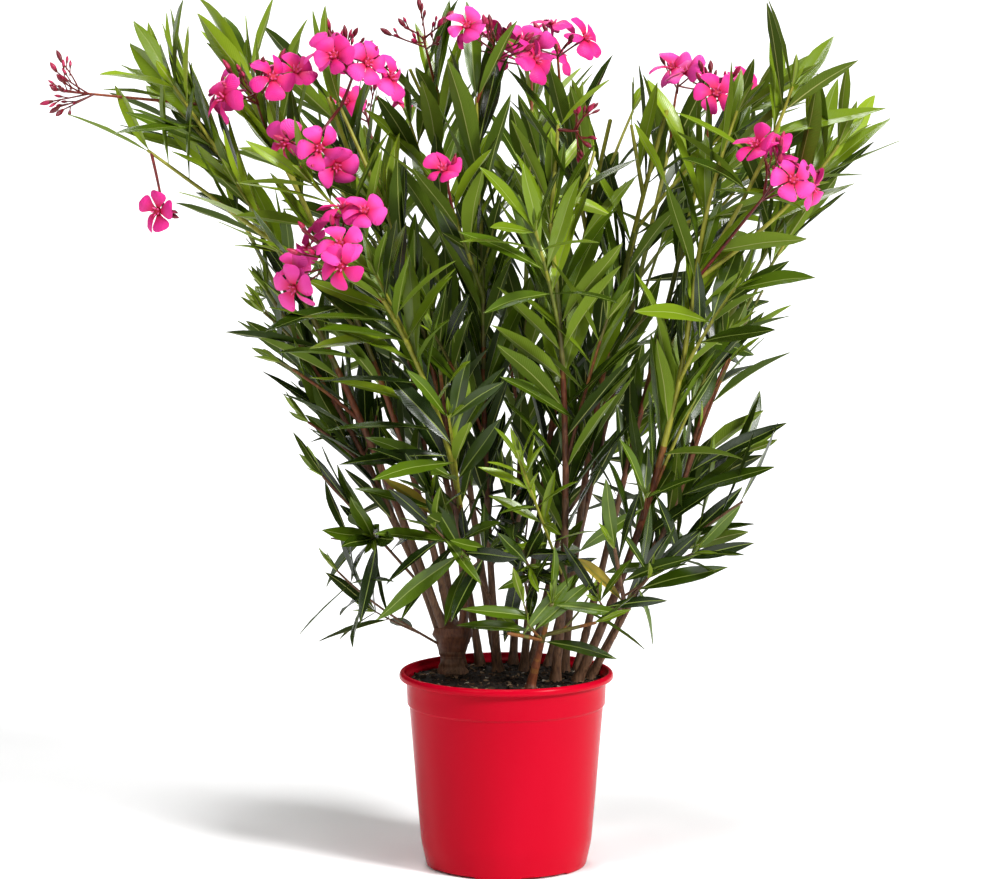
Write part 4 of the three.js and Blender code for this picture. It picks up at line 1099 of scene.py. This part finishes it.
CHIPS = 900
CHIPS_WITHIN = 108
CHIP_FINISHES = ["chip_dark", "chip_brown", "chip_tan", "chip_pale"]
CHIP_SHARES = (0.5, 0.8, 0.95)  # running shares of the first three finishes
chips = Batch()
chip_draw = np.random.default_rng(21)
for number in range(CHIPS):
    radius = CHIPS_WITHIN * math.sqrt(chip_draw.random())
    angle = 2 * math.pi * chip_draw.random()
    x, y = radius * math.cos(angle), radius * math.sin(angle)
    length = 2 + 5.5 * chip_draw.random() ** 2
    lean = 0.5 * chip_draw.normal()
    heading = 2 * math.pi * chip_draw.random()
    way = unit([math.cos(heading), math.sin(heading), 0.35 * lean])
    middle = np.array([x, y, soil_height(x, y) + 0.5 + 0.8 * chip_draw.random()])
    girth = length * (0.16 + 0.14 * chip_draw.random())
    relief = 0.3 * girth * chip_draw.normal(size=(3, 5))
    kind = int(np.searchsorted(CHIP_SHARES, chip_draw.random()))
    add_tube(chips, middle + way * (np.array([-0.5, 0.0, 0.5]) * length)[:, None],
             [0.7 * girth, girth, 0.6 * girth], 5, kind, relief)

# ---------------------------------------------------------------- materials

MATERIALS = {}


def shader_input(material, name):
    return material.node_tree.nodes["Principled BSDF"].inputs[name]


def new_material(name, color, roughness, specular):
    """A principled material with plain values on the shader's own sockets."""
    material = bpy.data.materials.new(name)
    material.use_nodes = True
    shader_input(material, "Base Color").default_value = (*color, 1)
    shader_input(material, "Roughness").default_value = roughness
    shader_input(material, "Specular IOR Level").default_value = specular
    MATERIALS[name] = material
    return material


def feed(material, socket, value):
    """Sets an input to a plain value, or links it to another node's output."""
    if isinstance(value, bpy.types.NodeSocket):
        material.node_tree.links.new(value, socket)
    else:
        socket.default_value = value


def add_node(material, kind, **values):
    node = material.node_tree.nodes.new("ShaderNode" + kind)
    for name, value in values.items():
        feed(material, node.inputs[name], value)
    return node


def noise_at(material, scale, detail=3.0, stretch=(1, 1, 1), distortion=0.0):
    """Noise fixed to the object, stretched along its axes."""
    place = add_node(material, "TexCoord").outputs["Object"]
    mapping = add_node(material, "Mapping", Scale=stretch, Vector=place)
    noise = add_node(material, "TexNoise", Scale=scale, Detail=detail, Distortion=distortion,
                     Vector=mapping.outputs["Vector"])
    return noise.outputs["Fac"]


def add_tint(material, fac, low, high, places=(0.35, 0.65)):
    """The base colour runs from low to high with fac."""
    ramp = add_node(material, "ValToRGB", Fac=fac)
    for stop, place, color in zip(ramp.color_ramp.elements, places, (low, high)):
        stop.position = place
        stop.color = (*color, 1)
    feed(material, shader_input(material, "Base Color"), ramp.outputs["Color"])


def add_bump(material, fac, strength, distance):
    """Fine relief from fac on top of the mesh's own shape."""
    bump = add_node(material, "Bump", Strength=strength, Distance=distance, Height=fac)
    feed(material, shader_input(material, "Normal"), bump.outputs["Normal"])


def map_place(material):
    """A place on the blade's own map: across it (X) and along it (Y), each from 0 to 1."""
    place = add_node(material, "TexCoord").outputs["UV"]
    return add_node(material, "SeparateXYZ", Vector=place).outputs


def arithmetic(material, operation, *values):
    """One step of arithmetic on plain values or other nodes' outputs."""
    node = add_node(material, "Math")
    node.operation = operation
    for socket, value in zip(node.inputs, values):
        feed(material, socket, value)
    return node.outputs["Value"]


def vein_relief(material, slant, bands):
    """Fine side veins that leave the rib at a slant, as a band pattern over the blade's own map."""
    place = map_place(material)
    from_rib = arithmetic(material, "ABSOLUTE", arithmetic(material, "SUBTRACT", place["X"], 0.5))
    setback = arithmetic(material, "MULTIPLY", from_rib, slant)
    vein = arithmetic(material, "SUBTRACT", place["Y"], setback)
    return arithmetic(material, "SINE", arithmetic(material, "MULTIPLY", vein, bands))


# The greens from deep to bright, on top and underneath, are partly the leaves' own tone and partly painted
# shade and light: low and inner leaves get the darker ones, high leaves the brighter ones.
LEAF_COLORS = {
    "leaf_deep": (0.0093, 0.021, 0.0008), "leaf_dark": (0.024, 0.047, 0.0015),
    "leaf_mid": (0.061, 0.108, 0.0031), "leaf_bright": (0.122, 0.187, 0.0062),
    "leaf_lime": (0.205, 0.295, 0.012), "leaf_yellow": (0.362, 0.269, 0.035),
    "under_deep": (0.021, 0.038, 0.0030), "under_dark": (0.046, 0.077, 0.0051),
    "under_mid": (0.086, 0.136, 0.0099), "under_bright": (0.139, 0.206, 0.015),
    "rib_green": (0.185, 0.239, 0.039), "rib_pale": (0.308, 0.339, 0.092),
}
for name, color in LEAF_COLORS.items():
    rib = name.startswith("rib")
    under = name.startswith("under")
    leaf_material = new_material(name, color, 0.5 if under or rib else 0.25, 0.1 if under else 0.42)
    if rib:
        add_bump(leaf_material, noise_at(leaf_material, 900), 0.2, 0.0003)
    else:
        add_bump(leaf_material, vein_relief(leaf_material, 0.16, 260), 0.22 if under else 0.2, 0.00025)

PETAL_FOOT = (0.57, 0.0039, 0.065)
PETAL_COLORS = {
    "petal": (0.693, 0.017, 0.231), "petal_pale": (0.731, 0.042, 0.323),
    "petal_throat": (0.385, 0.0023, 0.031), "petal_back": (0.662, 0.025, 0.231),
    "petal_heart": (0.708, 0.077, 0.277),
}
for name, color in PETAL_COLORS.items():
    petal_material = new_material(name, color, 0.55, 0.3)
    if name in ("petal", "petal_pale"):
        add_tint(petal_material, map_place(petal_material)["Y"], PETAL_FOOT, color, (0.12, 0.62))
    add_bump(petal_material, vein_relief(petal_material, 0.5, 70), 0.3, 0.0004)



def grained(name, low, high, roughness, specular, grain, bump_strength, bump_distance):
    """A finish mottled between two colours; grain makes the noise of the colour and that of the relief."""
    material = new_material(name, high, roughness, specular)
    mottle, relief = (noise_at(material, *values) for values in grain)
    add_tint(material, mottle, low, high, (0.32, 0.68) if name in BARK_FINISHES else (0.35, 0.65))
    add_bump(material, relief, bump_strength, bump_distance)


STALK_COLORS = {
    "bud": ((0.254, 0.0031, 0.031), (0.424, 0.0077, 0.077)),
    "bud_dark": ((0.1, 0.0023, 0.0092), (0.2, 0.0046, 0.023)),
    "stalk_rust": ((0.154, 0.023, 0.0062), (0.277, 0.058, 0.012)),
    "stalk_red": ((0.077, 0.0046, 0.0046), (0.169, 0.011, 0.0092)),
}
for name, (low, high) in STALK_COLORS.items():
    grained(name, low, high, 0.45, 0.4, [(260,), (900,)], 0.25, 0.0004)

BARK_COLORS = {
    "bark_grey": ((0.058, 0.025, 0.012), (0.181, 0.092, 0.046)),
    "bark_brown": ((0.048, 0.015, 0.0062), (0.146, 0.052, 0.022)),
    "bark_red": ((0.070, 0.015, 0.004), (0.175, 0.048, 0.014)),
    "bark_rust": ((0.092, 0.029, 0.0062), (0.231, 0.089, 0.017)),
    "stem_olive": ((0.069, 0.058, 0.011), (0.139, 0.127, 0.025)),
    "stem_green": ((0.09, 0.105, 0.012), (0.155, 0.175, 0.024)),
    "stem_lime": ((0.19, 0.185, 0.018), (0.33, 0.32, 0.035)),
}
for name, (low, high) in BARK_COLORS.items():
    scale, roughness, bump = (420, 0.6, 0.55) if name.startswith("bark") else (200, 0.42, 0.2)
    streaks = (scale, 5, (1, 1, 0.22), 0.4)
    cracks = (700, 6, (1, 1, 0.35))
    grained(name, low, high, roughness, 0.35, [streaks, cracks], bump, 0.0008)

pot_material = new_material("pot_red", (0.416, 0.0008, 0.012), 0.25, 0.055)
clouds = noise_at(pot_material, 9, 3, (1, 1, 0.3))
add_tint(pot_material, clouds, (0.4, 0.0006, 0.011), (0.439, 0.0009, 0.014))
smears = noise_at(pot_material, 38, 6, (1, 1, 0.25))
gloss = add_node(pot_material, "MapRange", **{"Value": smears, "To Min": 0.2, "To Max": 0.3})
feed(pot_material, shader_input(pot_material, "Roughness"), gloss.outputs["Result"])
add_bump(pot_material, noise_at(pot_material, 60, 4, (1, 1, 0.4)), 0.06, 0.001)

SOIL_COLORS = {
    "soil": ((0.0046, 0.0031, 0.0023), (0.023, 0.015, 0.01)),
    "chip_dark": ((0.0062, 0.0039, 0.0023), (0.022, 0.013, 0.0077)),
    "chip_brown": ((0.027, 0.014, 0.0069), (0.065, 0.035, 0.017)),
    "chip_tan": ((0.108, 0.065, 0.035), (0.2, 0.131, 0.077)),
    "chip_pale": ((0.246, 0.208, 0.154), (0.385, 0.347, 0.277)),
}
for name, (low, high) in SOIL_COLORS.items():
    grained(name, low, high, 0.95, 0.2, [(380, 5), (500, 8)], 0.9, 0.002)

# ---------------------------------------------------------------- pieces

FOLIAGE = ["foliage_" + cane.name for cane in CANES]
CANE_NODES = ["cane_" + cane.name for cane in CANES if cane.bare > 0]
MOST_LEAVES_IN_PIECE = 700

for place, shade in MARKED_LEAVES:
    nearest = min(leaves, key=lambda leaf: np.linalg.norm(leaf.points([0.5])[0] - place))
    nearest.shade = shade

leaves.sort(key=lambda leaf: leaf.mass)
groups = []
for leaf in leaves:
    if not groups or (len(groups[-1]) >= MOST_LEAVES_IN_PIECE and groups[-1][-1].mass != leaf.mass):
        groups.append([])
    groups[-1].append(leaf)
for number, chosen in enumerate(groups):
    piece = build_leaves(f"leaves_{number + 1}", chosen)
    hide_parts(*[FOLIAGE[mass] for mass in sorted({leaf.mass for leaf in chosen})])

stem_piece = stems.build("stems", BARK_FINISHES)
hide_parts(*FOLIAGE)

blossom_piece = blossom.build("blossom", BLOSSOM_FINISHES)
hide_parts(*["foliage_" + cane.name for cane in CANES if cane.heads])

bark_piece = bark.build("stump_and_canes", BARK_FINISHES)
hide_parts("stump", *CANE_NODES)

pot_piece = pot_batch.build("pot_shell", ["pot_red"], sharp=40)
drains = Batch()
for number in range(NOTCHES):
    angle = math.radians(NOTCH_FIRST + NOTCH_WIDTH / 2 + NOTCH_TURN * number)
    x, y = DRAIN_AT * math.cos(angle), DRAIN_AT * math.sin(angle)
    add_tube(drains, [(x, y, -6), (x, y, 0), (x, y, 10)], [DRAIN_RADIUS] * 3, 24, 0)
drain_piece = drains.build("drain_cutters", ["pot_red"])
cut = pot_piece.modifiers.new("drains", "BOOLEAN")
cut.operation = "DIFFERENCE"
cut.solver = "EXACT"
cut.object = drain_piece
bpy.context.view_layer.update()
cut_mesh = bpy.data.meshes.new_from_object(pot_piece.evaluated_get(bpy.context.evaluated_depsgraph_get()))
pot_piece.modifiers.clear()
pot_piece.data = cut_mesh
bpy.data.objects.remove(drain_piece)
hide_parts("pot")

soil_piece = soil_batch.build("soil_bed", ["soil"])
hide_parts("soil")
chip_piece = chips.build("soil_chips", CHIP_FINISHES, sharp=30)
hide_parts("soil")

# ---------------------------------------------------------------- floor and light

FLOOR_REACH = 60.0
FLOOR_LEVEL = -0.0005
floor_mesh = bpy.data.meshes.new("floor")
floor_corners = [(x * FLOOR_REACH, y * FLOOR_REACH, FLOOR_LEVEL)
                 for x, y in ((-1, -1), (1, -1), (1, 1), (-1, 1))]
floor_mesh.from_pydata(floor_corners, [], [(0, 1, 2, 3)])
floor = bpy.data.objects.new("floor", floor_mesh)
bpy.context.scene.collection.objects.link(floor)
floor_material = new_material("floor_pale", (0.86, 0.86, 0.86), 0.9, 0.1)
add_tint(floor_material, noise_at(floor_material, 3), (0.85, 0.85, 0.85), (0.87, 0.87, 0.87))
floor_mesh.materials.append(floor_material)

world = bpy.data.worlds.new("studio")
world.use_nodes = True
world.node_tree.nodes["Background"].inputs["Color"].default_value = (1.0, 1.0, 1.0, 1)
world.node_tree.nodes["Background"].inputs["Strength"].default_value = 0.07
bpy.context.scene.world = world
bpy.context.scene.view_settings.view_transform = "Standard"


def sun_light(name, tilt, heading, power, softness):
    """A broad distant light, tilted back from straight down by tilt and turned by heading, in degrees."""
    data = bpy.data.lights.new(name, "SUN")
    data.energy = power
    data.angle = math.radians(softness)
    light = bpy.data.objects.new(name, data)
    light.rotation_euler = (math.radians(tilt), 0, math.radians(heading))
    bpy.context.scene.collection.objects.link(light)


sun_light("key", 58, 50, 4.2, 14)
sun_light("fill", 52, -38, 0.8, 25)
sun_light("top", 14, 0, 2.1, 18)
sun_light("back", -46, 10, 1.2, 22)
